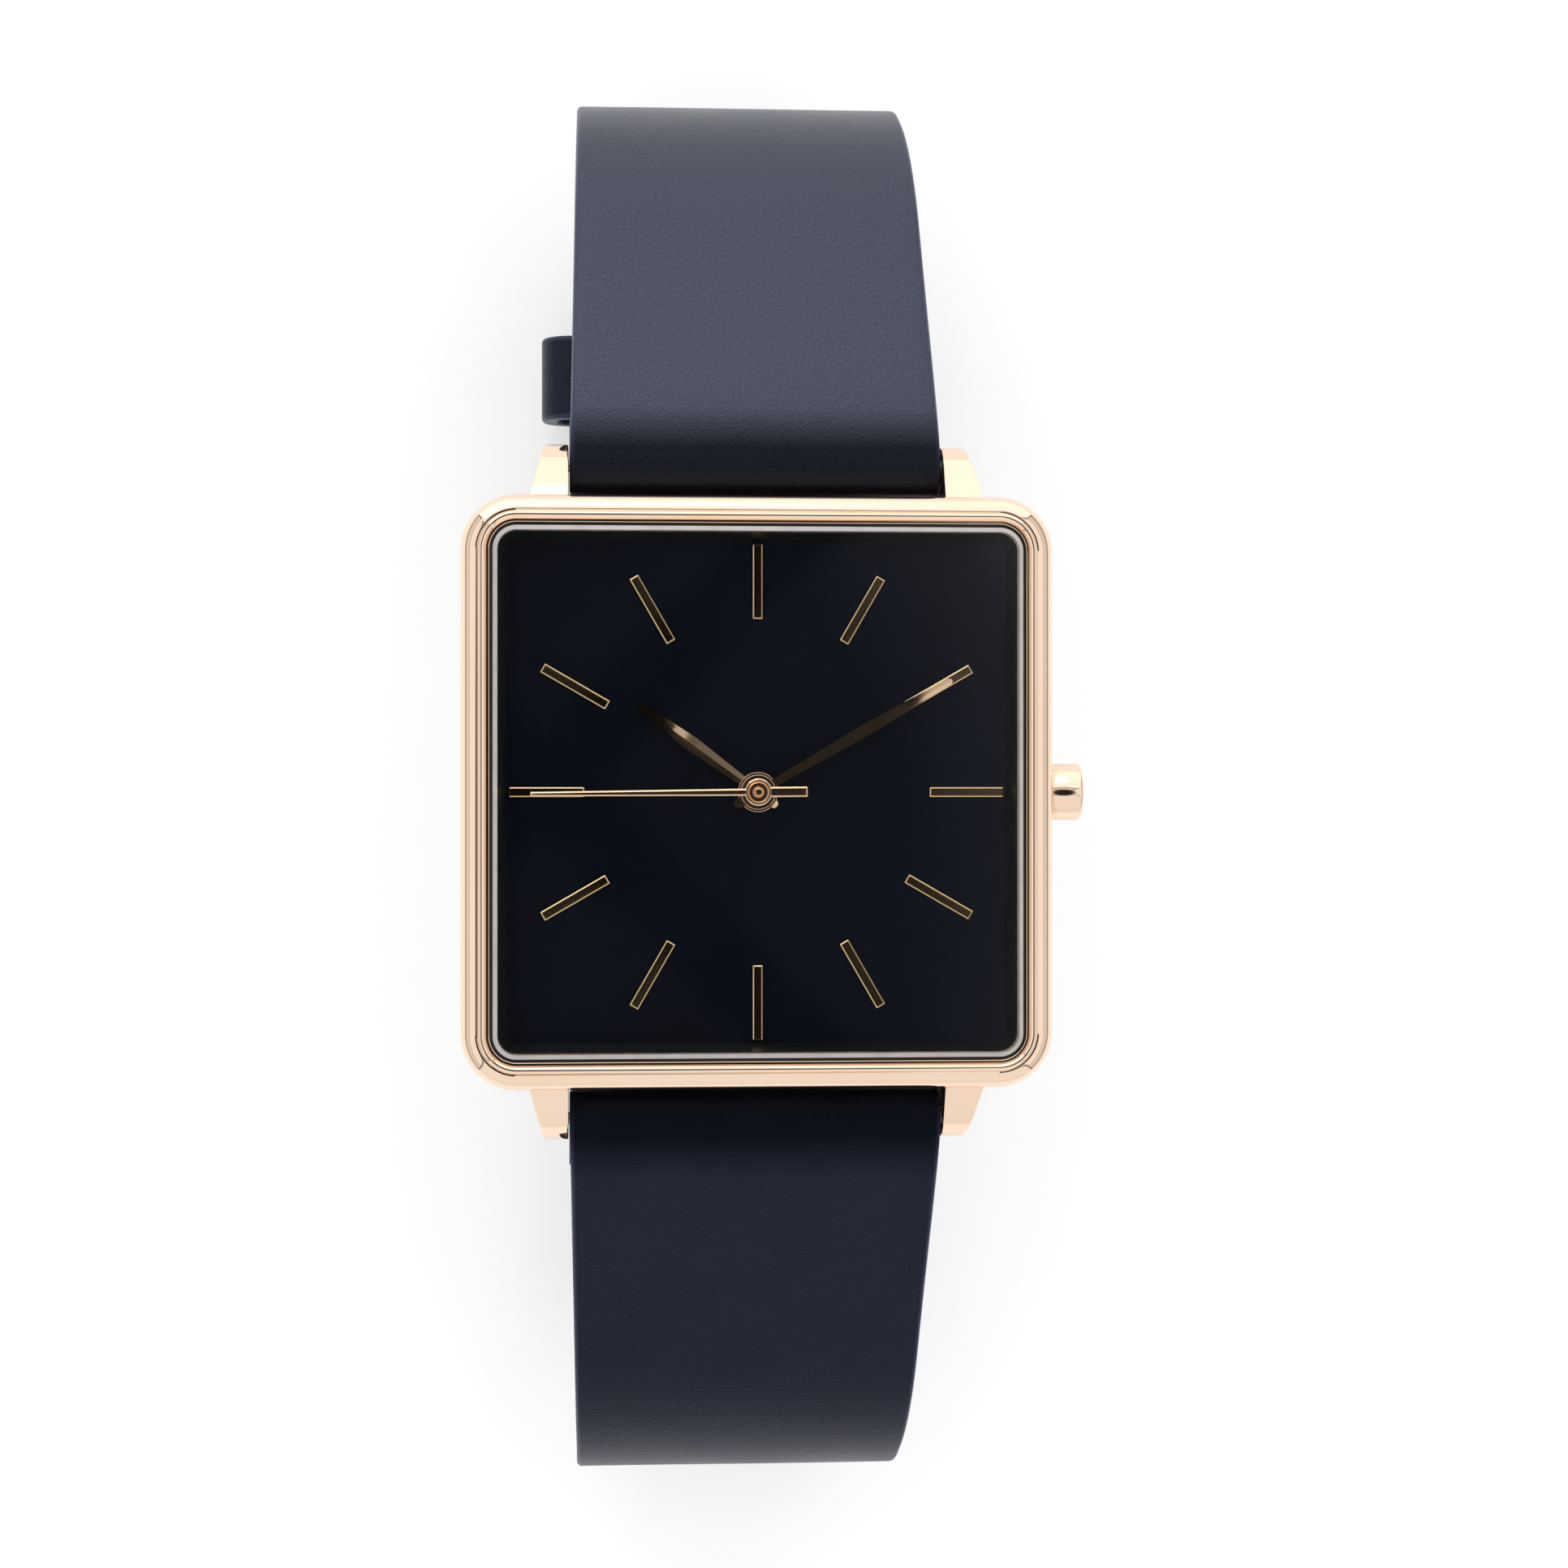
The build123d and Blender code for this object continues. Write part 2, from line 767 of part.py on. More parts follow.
# Fifth wheel, driven by the rotor
fifth_phase = mesh_phase(rotor_phase, pinion_teeth, fifth_teeth, rotor_direction + 180)
fifth_pinion_phase = fifth_direction + 180
fifth = arbor(fifth_place)
fifth += gear(
    fifth_teeth,
    rotor_module,
    fifth_wheel_level,
    fifth_wheel_level + wheel_thickness,
    fifth_place,
    fifth_phase,
)
fifth += gear(
    pinion_teeth, fifth_module, fifth_wheel_level, fifth_pinion_top, fifth_place, fifth_pinion_phase
)
parts["fifth_wheel"] = fifth

# Fourth wheel, whose long arbor carries the second hand
fourth_phase = mesh_phase(fifth_pinion_phase, pinion_teeth, fourth_teeth, fifth_direction + 180)
fourth_pinion_phase = third_direction
fourth = disc(second_arbor_radius, plate_back, second_bottom + second_thickness)
fourth += gear(
    fourth_teeth,
    fifth_module,
    fourth_wheel_level,
    fourth_wheel_level + wheel_thickness,
    centre,
    fourth_phase,
)
fourth += gear(
    pinion_teeth, fourth_module, fourth_wheel_level, fourth_pinion_top, centre, fourth_pinion_phase
)
parts["fourth_wheel"] = fourth

# Third wheel
third_phase = mesh_phase(fourth_pinion_phase, pinion_teeth, third_teeth, third_direction)
third_pinion_phase = third_direction + 180
third = arbor(third_place)
third += gear(
    third_teeth,
    fourth_module,
    third_wheel_level,
    third_wheel_level + wheel_thickness,
    third_place,
    third_phase,
)
third += gear(
    pinion_teeth, third_module, third_wheel_level, third_pinion_top, third_place, third_pinion_phase
)
parts["third_wheel"] = third

# Centre wheel on its tube, which the cannon pinion grips
centre_phase = mesh_phase(third_pinion_phase, pinion_teeth, centre_teeth, third_direction + 180)
centre_wheel = disc(centre_tube_radius, centre_wheel_level, centre_tube_top)
centre_wheel += gear(
    centre_teeth,
    third_module,
    centre_wheel_level,
    centre_wheel_level + wheel_thickness,
    centre,
    centre_phase,
)
parts["centre_wheel"] = centre_wheel - disc(
    centre_bore_radius, centre_wheel_level - overrun, centre_tube_top + overrun
)

# Cannon pinion, which carries the minute hand
cannon_phase = minute_wheel_direction
cannon = disc(cannon_radius, cannon_level, minute_bottom + hand_thickness)
cannon += gear(cannon_teeth, cannon_module, cannon_level, cannon_pinion_top, centre, cannon_phase)
cannon -= disc(cannon_bore_radius, cannon_level - overrun, minute_bottom + hand_thickness + overrun)
parts["cannon_pinion"] = cannon

# Minute wheel with its pinion, on a post of the plate
minute_wheel_phase = mesh_phase(
    cannon_phase, cannon_teeth, minute_wheel_teeth, minute_wheel_direction
)
minute_pinion_phase = minute_wheel_direction + 180
minute_wheel = gear(
    minute_wheel_teeth,
    cannon_module,
    cannon_level,
    cannon_level + minute_wheel_thickness,
    minute_wheel_place,
    minute_wheel_phase,
)
minute_wheel += gear(
    minute_pinion_teeth,
    hour_module,
    cannon_level,
    minute_pinion_top,
    minute_wheel_place,
    minute_pinion_phase,
)
minute_wheel -= disc(
    arbor_radius + pivot_play,
    cannon_level - overrun,
    minute_pinion_top + overrun,
    *minute_wheel_place,
)
parts["minute_wheel"] = minute_wheel

# Hour wheel on its pipe, which carries the hour hand
hour_phase = mesh_phase(
    minute_pinion_phase, minute_pinion_teeth, hour_teeth, minute_wheel_direction + 180
)
hour_wheel = disc(hour_pipe_radius, hour_wheel_level, hour_bottom + hand_thickness)
hour_wheel += gear(
    hour_teeth,
    hour_module,
    hour_wheel_level,
    hour_wheel_level + hour_wheel_thickness,
    centre,
    hour_phase,
)
hour_wheel -= disc(
    hour_bore_radius, hour_wheel_level - overrun, hour_bottom + hand_thickness + overrun
)
parts["hour_wheel"] = hour_wheel
parts["dial_washer"] = tube(
    hour_pipe_radius + motion_play + washer_width,
    hour_pipe_radius + motion_play,
    dial_bottom - washer_thickness,
    dial_bottom,
)

# Setting wheel, which the sliding pinion turns when the crown is out
setting_phase = mesh_phase(
    minute_wheel_phase, minute_wheel_teeth, setting_teeth, setting_direction
)
setting = gear(
    setting_teeth,
    cannon_module,
    setting_level,
    setting_level + setting_thickness,
    setting_place,
    setting_phase,
)
parts["setting_wheel"] = setting - disc(
    arbor_radius + pivot_play,
    setting_level - overrun,
    setting_level + setting_thickness + overrun,
    *setting_place,
)

# Hands
parts["hour_hand"] = Rot(0, 0, -hour_turn) * hand(
    hour_length,
    hour_width,
    hour_tail,
    hour_width * root_width_share,
    hour_hub_radius,
    hour_bottom,
    hand_thickness,
    hour_pipe_radius,
)
parts["minute_hand"] = Rot(0, 0, -minute_turn) * hand(
    minute_length,
    minute_width,
    minute_tail,
    minute_width * root_width_share,
    minute_hub_radius,
    minute_bottom,
    hand_thickness,
    cannon_radius,
)
second_hand = hand(
    second_length,
    second_width,
    second_tail,
    second_tail_width,
    second_hub_radius,
    second_bottom,
    second_thickness,
    second_arbor_radius,
)
second_top = second_bottom + second_thickness
second_hand += disc(second_boss_radius, second_top, second_top + second_boss_height)
parts["second_hand"] = Rot(0, 0, -second_turn) * second_hand

# Crown with its recess for the tube, and its gasket
crown_face = half_case + crown_gap
crown_end = crown_face + crown_length
crown = bar_x(crown_radius, crown_face, crown_end, 0, stem_level)
crown = fillet(crown.faces().sort_by(Axis.X)[-1].edges(), crown_round)
recess_end = crown_face + crown_recess_depth
crown -= bar_x(crown_recess_radius, crown_face - overrun, recess_end, 0, stem_level)
stem_end = recess_end + stem_seat_depth
crown -= bar_x(stem_radius, crown_face, stem_end, 0, stem_level)
parts["crown"] = crown
parts["crown_gasket"] = bar_x(
    crown_recess_radius, recess_end - crown_gasket_length, recess_end, 0, stem_level, stem_radius
)

# Stem: the pilot carries the sliding pinion and the groove takes the setting lever
groove_low = stem_groove_x - stem_groove_width / 2
groove_high = stem_groove_x + stem_groove_width / 2
stem = bar_x(pilot_radius, pilot_end_x, stem_end, 0, stem_level)
stem += bar_x(stem_radius, stem_step_x, stem_end, 0, stem_level)
stem -= bar_x(stem_radius + overrun, groove_low, groove_high, 0, stem_level, stem_groove_radius)
parts["stem"] = stem

# Sliding pinion with face teeth towards the setting wheel
pinion = bar_x(
    sliding_pinion_radius,
    sliding_pinion_x,
    sliding_pinion_x + sliding_pinion_length,
    0,
    stem_level,
    pilot_radius + sliding_pinion_play,
)
notch_width = pi * sliding_pinion_radius / clutch_teeth
for tooth in range(clutch_teeth):
    notch = Pos(sliding_pinion_x, 0, stem_level) * Rot(360 / clutch_teeth * tooth, 0, 0)
    gap = sliding_pinion_radius - pilot_radius
    pinion -= notch * Pos(0, 0, sliding_pinion_radius) * Box(notch_width, notch_width, gap)
parts["sliding_pinion"] = pinion

# Setting lever: it turns on a pin of the plate and its finger sits in the groove of the stem
lever = disc(lever_boss_radius, lever_level, lever_level + lever_thickness, lever_pivot_x, lever_pivot_y)
arm_x = stem_groove_x - lever_pivot_x
arm_y = lever_finger_y - lever_pivot_y
finger_reach = hypot(arm_x, arm_y)
arm_reach = finger_reach - lever_finger_length
arm_face = Pos(arm_reach / 2, 0) * Rectangle(arm_reach, lever_arm_width)
arm_face += Pos(finger_reach / 2, 0) * Rectangle(finger_reach, lever_finger_width)
arm_turn = Pos(lever_pivot_x, lever_pivot_y) * Rot(0, 0, degrees(atan2(arm_y, arm_x)))
lever += arm_turn * slab(arm_face, lever_level, lever_level + lever_thickness)
lever -= disc(
    lever_pin_radius + pivot_play,
    lever_level - overrun,
    lever_level + lever_thickness + overrun,
    lever_pivot_x,
    lever_pivot_y,
)
parts["setting_lever"] = lever

# Spring bars: a tube, a spring inside it and a sprung pin at each end
tubes = []
springs = []
half_bar = bar_length / 2
pin_start = lug_inner - pin_shoulder_gap - pin_body_length
spring_end = pin_start - pin_travel - pin_hole_play
for side, name in ((1, "12"), (-1, "6")):
    y = side * bar_y
    bar = bar_x(bar_radius, -half_bar, half_bar, y, bar_level, bar_bore)
    tubes.append(bar)
    springs.append(bar_x(bar_spring_radius, -spring_end, spring_end, y, bar_level, bar_spring_bore))
    pin = bar_x(pin_body_radius, pin_start, pin_start + pin_body_length, y, bar_level)
    pin += bar_x(pin_tip_radius, pin_start, lug_inner + pin_tip_depth, y, bar_level)
    parts["spring_pin_" + name + "_right"] = pin
    parts["spring_pin_" + name + "_left"] = mirror(pin, Plane.YZ)
parts["spring_bar_tubes"] = Compound(tubes)
parts["spring_bar_springs"] = Compound(springs)


# Unit normal, on the upper side, of a line that touches a circle round each of two centres
def touching_normal(first, second, rise):
    across = second[0] - first[0]
    down = second[1] - first[1]
    distance = hypot(across, down)
    turn = atan2(down, across) + acos(rise / distance)
    return cos(turn), sin(turn)


def on_circle(place, radius, normal):
    return place[0] + radius * normal[0], place[1] + radius * normal[1]


# The layer of a strap half between two depths under its outer face, in the plane of Y and Z
def strap_layer(bend, radius, outer_depth, inner_depth, end_y, roll):
    pivot = (bar_y, bar_level)
    outer_radius = radius - outer_depth
    inner_radius = radius - inner_depth
    outer_normal = touching_normal(pivot, bend, roll - outer_depth - outer_radius)
    inner_normal = touching_normal(pivot, bend, -roll - inner_radius)
    start_high = on_circle(pivot, roll - outer_depth, outer_normal)
    start_low = on_circle(pivot, -roll, inner_normal)
    bend_high = on_circle(bend, outer_radius, outer_normal)
    bend_low = on_circle(bend, inner_radius, inner_normal)
    outer_bottom = (bend[0], bend[1] - outer_radius)
    inner_bottom = (bend[0], bend[1] - inner_radius)
    edges = [
        Line(start_high, bend_high),
        ThreePointArc(bend_high, (bend[0] + outer_radius, bend[1]), outer_bottom),
        Line(outer_bottom, (end_y, outer_bottom[1])),
        Line((end_y, outer_bottom[1]), (end_y, inner_bottom[1])),
        Line((end_y, inner_bottom[1]), inner_bottom),
        ThreePointArc(inner_bottom, (bend[0] + inner_radius, bend[1]), bend_low),
        Line(bend_low, start_low),
        Line(start_low, start_high),
    ]
    return Face(Wire(edges))


# Plan outline of a strap half, wide at the bar, narrower at the bend and narrowest at its end
def strap_taper(reach, bend_level, end_y, pointed):
    half_bar_width = strap_width / 2
    half_bend = bend_width / 2
    half_end = strap_end_width / 2
    before = bar_y - roll_radius - overrun
    upper = Polygon(
        (half_bar_width, before),
        (half_bar_width, bar_y),
        (half_bend, reach),
        (half_bend, reach + overrun),
        (-half_bend, reach + overrun),
        (-half_bend, reach),
        (-half_bar_width, bar_y),
        (-half_bar_width, before),
        align=None,
    )
    if pointed:
        tip = [
            (-half_end, end_y + tip_length),
            (-tip_flat / 2, end_y),
            (tip_flat / 2, end_y),
            (half_end, end_y + tip_length),
        ]
    else:
        tip = [(-half_end, end_y - overrun), (half_end, end_y - overrun)]
    lower = Polygon(
        (half_bend, reach + overrun),
        (-half_bend, reach + overrun),
        (-half_bend, reach),
        *tip,
        (half_bend, reach),
        align=None,
    )
    top = roll_radius + bar_level + overrun
    return slab(upper, bend_level, top) + slab(lower, loop_bottom - overrun, bend_level)


# One strap half towards +Y: its outer leather, rolled round the bar, and its lining
def strap_half(reach, radius, bottom, end_y, pointed):
    bend = (reach - radius, bottom + radius)
    half_width = strap_width / 2
    taper = strap_taper(reach, bend[1], end_y, pointed)
    whole = extrude(
        Plane.YZ * strap_layer(bend, radius, 0, strap_thickness, end_y, roll_radius),
        half_width,
        both=True,
    )
    whole += bar_x(roll_radius, -half_width, half_width, bar_y, bar_level)
    whole = whole & taper
    lining = extrude(
        Plane.YZ * strap_layer(bend, radius, leather_thickness, strap_thickness, end_y, roll_radius),
        half_width,
        both=True,
    )
    lining -= bar_x(lining_start, -half_width - overrun, half_width + overrun, bar_y, bar_level)
    lining = lining & taper
    bore = bar_x(bar_radius + roll_play, -half_width - overrun, half_width + overrun, bar_y, bar_level)
    return whole - lining - bore, lining - bore


# Buckle half, rolled round the buckle's bar at its end, with a slot for the tongue
leather, lining = strap_half(
    buckle_half_reach, buckle_bend_radius, buckle_half_bottom, buckle_bar_y, False
)
half_end = strap_end_width / 2
leather += bar_x(roll_radius, -half_end, half_end, buckle_bar_y, strap_mid_level)
buckle_bore = bar_x(
    buckle_bar_radius + roll_play,
    -half_end - overrun,
    half_end + overrun,
    buckle_bar_y,
    strap_mid_level,
)
slot_half = tongue_width / 2 + tongue_slot_play
slot_reach = frame_cross_radius + tongue_play + tongue_thickness + 2 * tongue_slot_play
slot = block(
    -slot_half,
    slot_half,
    buckle_bar_y - roll_radius - overrun,
    buckle_bar_y + slot_reach,
    strap_mid_level - roll_radius - overrun,
    strap_mid_level + roll_radius + overrun,
)
lining -= bar_x(
    roll_radius, -half_end - overrun, half_end + overrun, buckle_bar_y, strap_mid_level
)
parts["strap_buckle_half"] = leather - buckle_bore - slot
parts["strap_buckle_half_lining"] = lining - slot

# Tail half, with its pointed end and its row of holes
leather, lining = strap_half(tail_half_reach, bend_radius, loop_bottom, -tail_tip_y, True)
bend_place = (tail_half_reach - bend_radius, loop_bottom + bend_radius)
straight = bend_place[0] + tail_tip_y
neutral_radius = bend_radius - strap_thickness / 2
for hole in range(hole_count):
    along = first_hole + hole * hole_pitch
    over = max(0, along - straight)
    turn = degrees(over / neutral_radius)
    punch = Pos(0, min(along, straight) - tail_tip_y) * Circle(hole_radius)
    punch = slab(punch, loop_bottom - overrun, loop_bottom + strap_thickness + overrun)
    pivot = Pos(0, *bend_place)
    punch = pivot * Rot(turn, 0, 0) * pivot.inverse() * punch
    leather -= punch
    lining -= punch
parts["strap_tail_half"] = mirror(leather, Plane.XZ)
parts["strap_tail_half_lining"] = mirror(lining, Plane.XZ)


# A keeper: a flattened band round the strap, with room for the tail beside it
def keeper(length, middle_y, shift):
    inner_width = strap_end_width + 2 * keeper_side_room
    inner_height = strap_thickness + 2 * keeper_room
    outer_width = inner_width + 2 * keeper_wall
    outer_height = inner_height + 2 * keeper_wall
    band = RectangleRounded(outer_width, outer_height, keeper_round + keeper_wall)
    band -= RectangleRounded(inner_width, inner_height, keeper_round)
    band = extrude(Plane.XZ * band, length / 2, both=True)
    return Pos(shift, middle_y, strap_mid_level) * band


parts["free_keeper"] = keeper(free_keeper_length, free_keeper_y, free_keeper_shift)

# The fixed keeper is sewn to the strap by a tab on its inner side
fixed_keeper_y = buckle_bar_y + fixed_keeper_offset
strap_inner_level = buckle_half_bottom + strap_thickness
fixed = keeper(fixed_keeper_length, fixed_keeper_y, 0)
fixed += block(
    -stitch_tab_width / 2,
    stitch_tab_width / 2,
    fixed_keeper_y - fixed_keeper_length / 2,
    fixed_keeper_y + fixed_keeper_length / 2,
    strap_inner_level,
    strap_inner_level + keeper_room,
)
parts["fixed_keeper"] = fixed

# Buckle frame: two arms and a round cross piece
frame_outer = frame_inner + frame_arm_width
cross_y = buckle_bar_y - frame_reach
arm_length = frame_reach + frame_back_reach
frame = bar_x(frame_cross_radius, -frame_outer, frame_outer, cross_y, strap_mid_level)
for side in (-1, 1):
    arm = Box(frame_arm_width, arm_length, frame_arm_height)
    arm = fillet(arm.edges().filter_by(Axis.Y), frame_round)
    arm_x = side * (frame_inner + frame_arm_width / 2)
    frame += Pos(arm_x, cross_y + arm_length / 2, strap_mid_level) * arm
pin_reach = frame_inner + frame_arm_width / 2
frame -= bar_x(buckle_pin_radius, -pin_reach, pin_reach, buckle_bar_y, strap_mid_level)
parts["buckle_frame"] = frame

# Buckle bar, held in the arms by its thin ends
bar = bar_x(
    buckle_bar_radius,
    -frame_inner + tongue_play,
    frame_inner - tongue_play,
    buckle_bar_y,
    strap_mid_level,
)
bar += bar_x(buckle_pin_radius, -pin_reach, pin_reach, buckle_bar_y, strap_mid_level)
parts["buckle_bar"] = bar

# Tongue: a ring on the bar and a shank that lies on the outer side of the cross piece
shank_top = strap_mid_level - frame_cross_radius - tongue_play
tongue = bar_x(tongue_ring_radius, -tongue_width / 2, tongue_width / 2, buckle_bar_y, strap_mid_level)
tongue += block(
    -tongue_width / 2,
    tongue_width / 2,
    cross_y - frame_cross_radius - tongue_overhang,
    buckle_bar_y,
    shank_top - tongue_thickness,
    shank_top,
)
parts["buckle_tongue"] = tongue - bar_x(
    buckle_bar_radius + tongue_play, -tongue_width, tongue_width, buckle_bar_y, strap_mid_level
)

# One STEP file for each piece
os.makedirs("parts", exist_ok=True)
for name, shape in parts.items():
    shape.label = name
    export_step(shape, f"parts/{name}.step")
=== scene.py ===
from itertools import accumulate
from math import acos, atan2, cos, exp, hypot, pi, radians, sin

import bmesh
import bpy
from mathutils import Matrix, Vector, noise


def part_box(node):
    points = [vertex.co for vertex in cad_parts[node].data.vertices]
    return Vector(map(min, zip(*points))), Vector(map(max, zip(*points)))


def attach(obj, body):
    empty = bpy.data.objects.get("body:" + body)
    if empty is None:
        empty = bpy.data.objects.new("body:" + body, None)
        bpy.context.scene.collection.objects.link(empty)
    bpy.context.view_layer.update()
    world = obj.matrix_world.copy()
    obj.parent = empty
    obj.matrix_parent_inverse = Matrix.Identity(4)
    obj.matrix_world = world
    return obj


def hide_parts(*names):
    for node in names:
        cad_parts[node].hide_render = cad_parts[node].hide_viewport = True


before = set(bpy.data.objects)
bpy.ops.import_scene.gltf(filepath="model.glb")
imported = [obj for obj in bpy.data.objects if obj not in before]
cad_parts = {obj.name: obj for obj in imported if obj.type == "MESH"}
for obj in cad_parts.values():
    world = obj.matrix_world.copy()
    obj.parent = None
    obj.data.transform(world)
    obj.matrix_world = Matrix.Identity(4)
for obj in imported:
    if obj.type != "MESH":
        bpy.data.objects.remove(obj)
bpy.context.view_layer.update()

# The studio: a white table under a tent of four white panels, lit from outside. The camera looks down
# through a dark opening in its roof, and the panels leave thin gaps between them, which polished metal
# shows as lines. The watch stands on the table on the loop of its strap.
MM = 0.001
scene = bpy.context.scene
scene.view_settings.view_transform = "Standard"


def put(name, data):
    made = bpy.data.objects.new(name, data)
    scene.collection.objects.link(made)
    return made


def feed(tree, socket, value):
    """Links a socket to another one, or sets it; a colour of three parts is made opaque."""
    if isinstance(value, bpy.types.NodeSocket):
        tree.links.new(value, socket)
    elif socket.type == "RGBA" and len(value) == 3:
        socket.default_value = (*value, 1.0)
    else:
        socket.default_value = value


def connect(tree, made, **values):
    for label, value in values.items():
        feed(tree, made.inputs[label.replace("_", " ")], value)


def node(tree, kind, inputs=None, **settings):
    made = tree.nodes.new("ShaderNode" + kind)
    for key, value in settings.items():
        setattr(made, key, value)
    for key, value in (inputs or {}).items():
        feed(tree, made.inputs[key], value)
    return made


def figure(tree, operation, first, second=0.0):
    return node(tree, "Math", {0: first, 1: second}, operation=operation).outputs[0]


def blend_colours(tree, share, first, second, blend_type="MIX"):
    inputs = {0: share, 6: first, 7: second}
    return node(tree, "Mix", inputs, data_type="RGBA", blend_type=blend_type).outputs[2]


def ramp(tree, value, *stops):
    made = node(tree, "ValToRGB", {"Fac": value})
    elements = made.color_ramp.elements
    while len(elements) < len(stops):
        elements.new(0.5)
    for element, (position, level) in zip(elements, stops):
        element.position = position
        element.color = (level, level, level, 1.0)
    return made.outputs["Color"]


camera_yaw = radians(4.3)
camera_distance = 190.0
camera_near = 5.0
pixels = 1932
pixels_per_mm = 20.7
camera_target = Vector((1.64, 0.48, 4.0))
camera_side = Vector((-sin(camera_yaw), 0.0, cos(camera_yaw)))
camera = put("camera", bpy.data.cameras.new("camera"))
camera.data.lens = camera.data.sensor_width * camera_distance * pixels_per_mm / pixels
camera.data.clip_start = camera_near * MM
camera.matrix_world = Matrix.Translation((camera_target + camera_side * camera_distance) * MM)
camera.matrix_world @= Matrix.Rotation(-camera_yaw, 4, "Y")
scene.camera = camera

# Each panel's shades, by the share of half a turn from the opening.
side_shades = (0.048, 0.014), (0.064, 0.07), (0.08, 0.5), (0.27, 0.51), (0.285, 0.3), (0.32, 0.4)
side_shades += (0.43, 0.38), (0.45, 0.2)
top_shades = (0.048, 0.014), (0.062, 0.07), (0.076, 0.36), (0.108, 0.4), (0.112, 0.1), (0.118, 0.1)
top_shades += (0.124, 0.64), (0.4, 0.7)
bottom_shades = (0.064, 0.014), (0.08, 0.48), (0.3, 0.49), (0.5, 0.46)
opening_lean = (radians(-1.8), radians(-2.0))
gap_shades = (0.012, 0.2), (0.022, 1.0)
tent_strength = 2.0
tent = bpy.data.worlds.new("tent")
tent.use_nodes = True
scene.world = tent
sky = tent.node_tree
sky.nodes.clear()
looked_at = node(sky, "TexCoord").outputs["Generated"]
towards = node(sky, "SeparateXYZ", {0: looked_at}).outputs
opening = Vector((*(sin(lean) for lean in opening_lean), 1.0)).normalized()
cosine = node(sky, "VectorMath", {0: looked_at, 1: opening}, operation="DOT_PRODUCT").outputs["Value"]
across = figure(sky, "ABSOLUTE", towards["X"])
along = figure(sky, "ABSOLUTE", towards["Y"])
from_opening = figure(sky, "DIVIDE", figure(sky, "ARCCOSINE", cosine), pi)
side_panel, top_panel, bottom_panel = (
    ramp(sky, from_opening, *shades) for shades in (side_shades, top_shades, bottom_shades)
)
is_top = figure(sky, "GREATER_THAN", towards["Y"], 0.0)
is_end = figure(sky, "GREATER_THAN", along, across)
panel = blend_colours(sky, is_end, side_panel, blend_colours(sky, is_top, bottom_panel, top_panel))
gap = ramp(sky, figure(sky, "ABSOLUTE", figure(sky, "SUBTRACT", across, along)), *gap_shades)
shaded = blend_colours(sky, 1.0, panel, gap, "MULTIPLY")
lit = node(sky, "Background", {"Color": shaded, "Strength": tent_strength})
paper = node(sky, "Background", {"Color": (1.0, 1.0, 1.0), "Strength": 1.0})
seen = node(sky, "LightPath").outputs["Is Camera Ray"]
both = node(sky, "MixShader", {0: seen, 1: lit.outputs[0], 2: paper.outputs[0]})
node(sky, "OutputWorld", {"Surface": both.outputs[0]})

lamp_place = Vector((-140.0, 420.0, 380.0))
lamp_width = 420.0
lamp_height = 260.0
lamp_watts = 0.22
lamp = put("window", bpy.data.lights.new("window", "AREA"))
lamp.data.shape = "RECTANGLE"
lamp.data.size = lamp_width * MM
lamp.data.size_y = lamp_height * MM
lamp.data.energy = lamp_watts
lamp.matrix_world = Matrix.LocRotScale(lamp_place * MM, lamp_place.to_track_quat("Z", "Y"), None)

table_half = 1600.0
table_drop = 0.05
table_white = 0.58
table_tooth = 0.01
table_glow = 0.55
table_level = Matrix.Translation((0, 0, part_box("strap_tail_half")[0].z - table_drop * MM))
table_mesh = bmesh.new()
bmesh.ops.create_grid(table_mesh, x_segments=1, y_segments=1, size=table_half * MM, matrix=table_level)
table = put("table", bpy.data.meshes.new("table"))
table_mesh.to_mesh(table.data)
table_mesh.free()
cloth = bpy.data.materials.new("table_paper")
cloth.use_nodes = True
tree = cloth.node_tree
tree.nodes.clear()
tooth = node(tree, "TexNoise", {"Scale": 900.0, "Detail": 2.0}).outputs[0]
shade = ramp(tree, tooth, (0.0, table_white - table_tooth), (1.0, table_white + table_tooth))
matt = node(tree, "BsdfDiffuse", {"Color": shade})
paths = node(tree, "LightPath").outputs
direct = figure(tree, "MAXIMUM", paths["Is Camera Ray"], paths["Is Glossy Ray"])
direct = figure(tree, "MAXIMUM", direct, paths["Is Transmission Ray"])
glow = node(tree, "Emission", {"Strength": figure(tree, "MULTIPLY", direct, table_glow)})
summed = node(tree, "AddShader", {0: matt.outputs[0], 1: glow.outputs[0]})
node(tree, "OutputMaterial", {"Surface": summed.outputs[0]})
table.data.materials.append(cloth)

# The case middle is one piece of rose gold plated steel, milled and polished to a mirror. Its four lugs
# grow out of the wall, its top edge is rolled over, and it is hollow for the movement, with seats for
# the bezel ring, the glass and the flange.
near = 0.004
weld = 0.0005


def box(name):
    """A node's lowest and highest corners in millimetres."""
    return [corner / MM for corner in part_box(name)]


def ease(mesh, geom, size, steps=3, affect="EDGES"):
    """Rounds edges, or with one step bevels them, or rounds the corners of a flat face."""
    bmesh.ops.bevel(
        mesh, geom=geom, offset=size, offset_type="OFFSET", segments=steps, profile=0.5, affect=affect,
        clamp_overlap=False, material=-1,
    )


def draw_out(mesh, face, along):
    """Draws a flat face out into a solid and returns the face at its far end."""
    drawn = bmesh.ops.extrude_face_region(mesh, geom=[face])["geom"]
    far = next(item for item in drawn if isinstance(item, bmesh.types.BMFace))
    bmesh.ops.translate(mesh, vec=along, verts=far.verts[:])
    return far


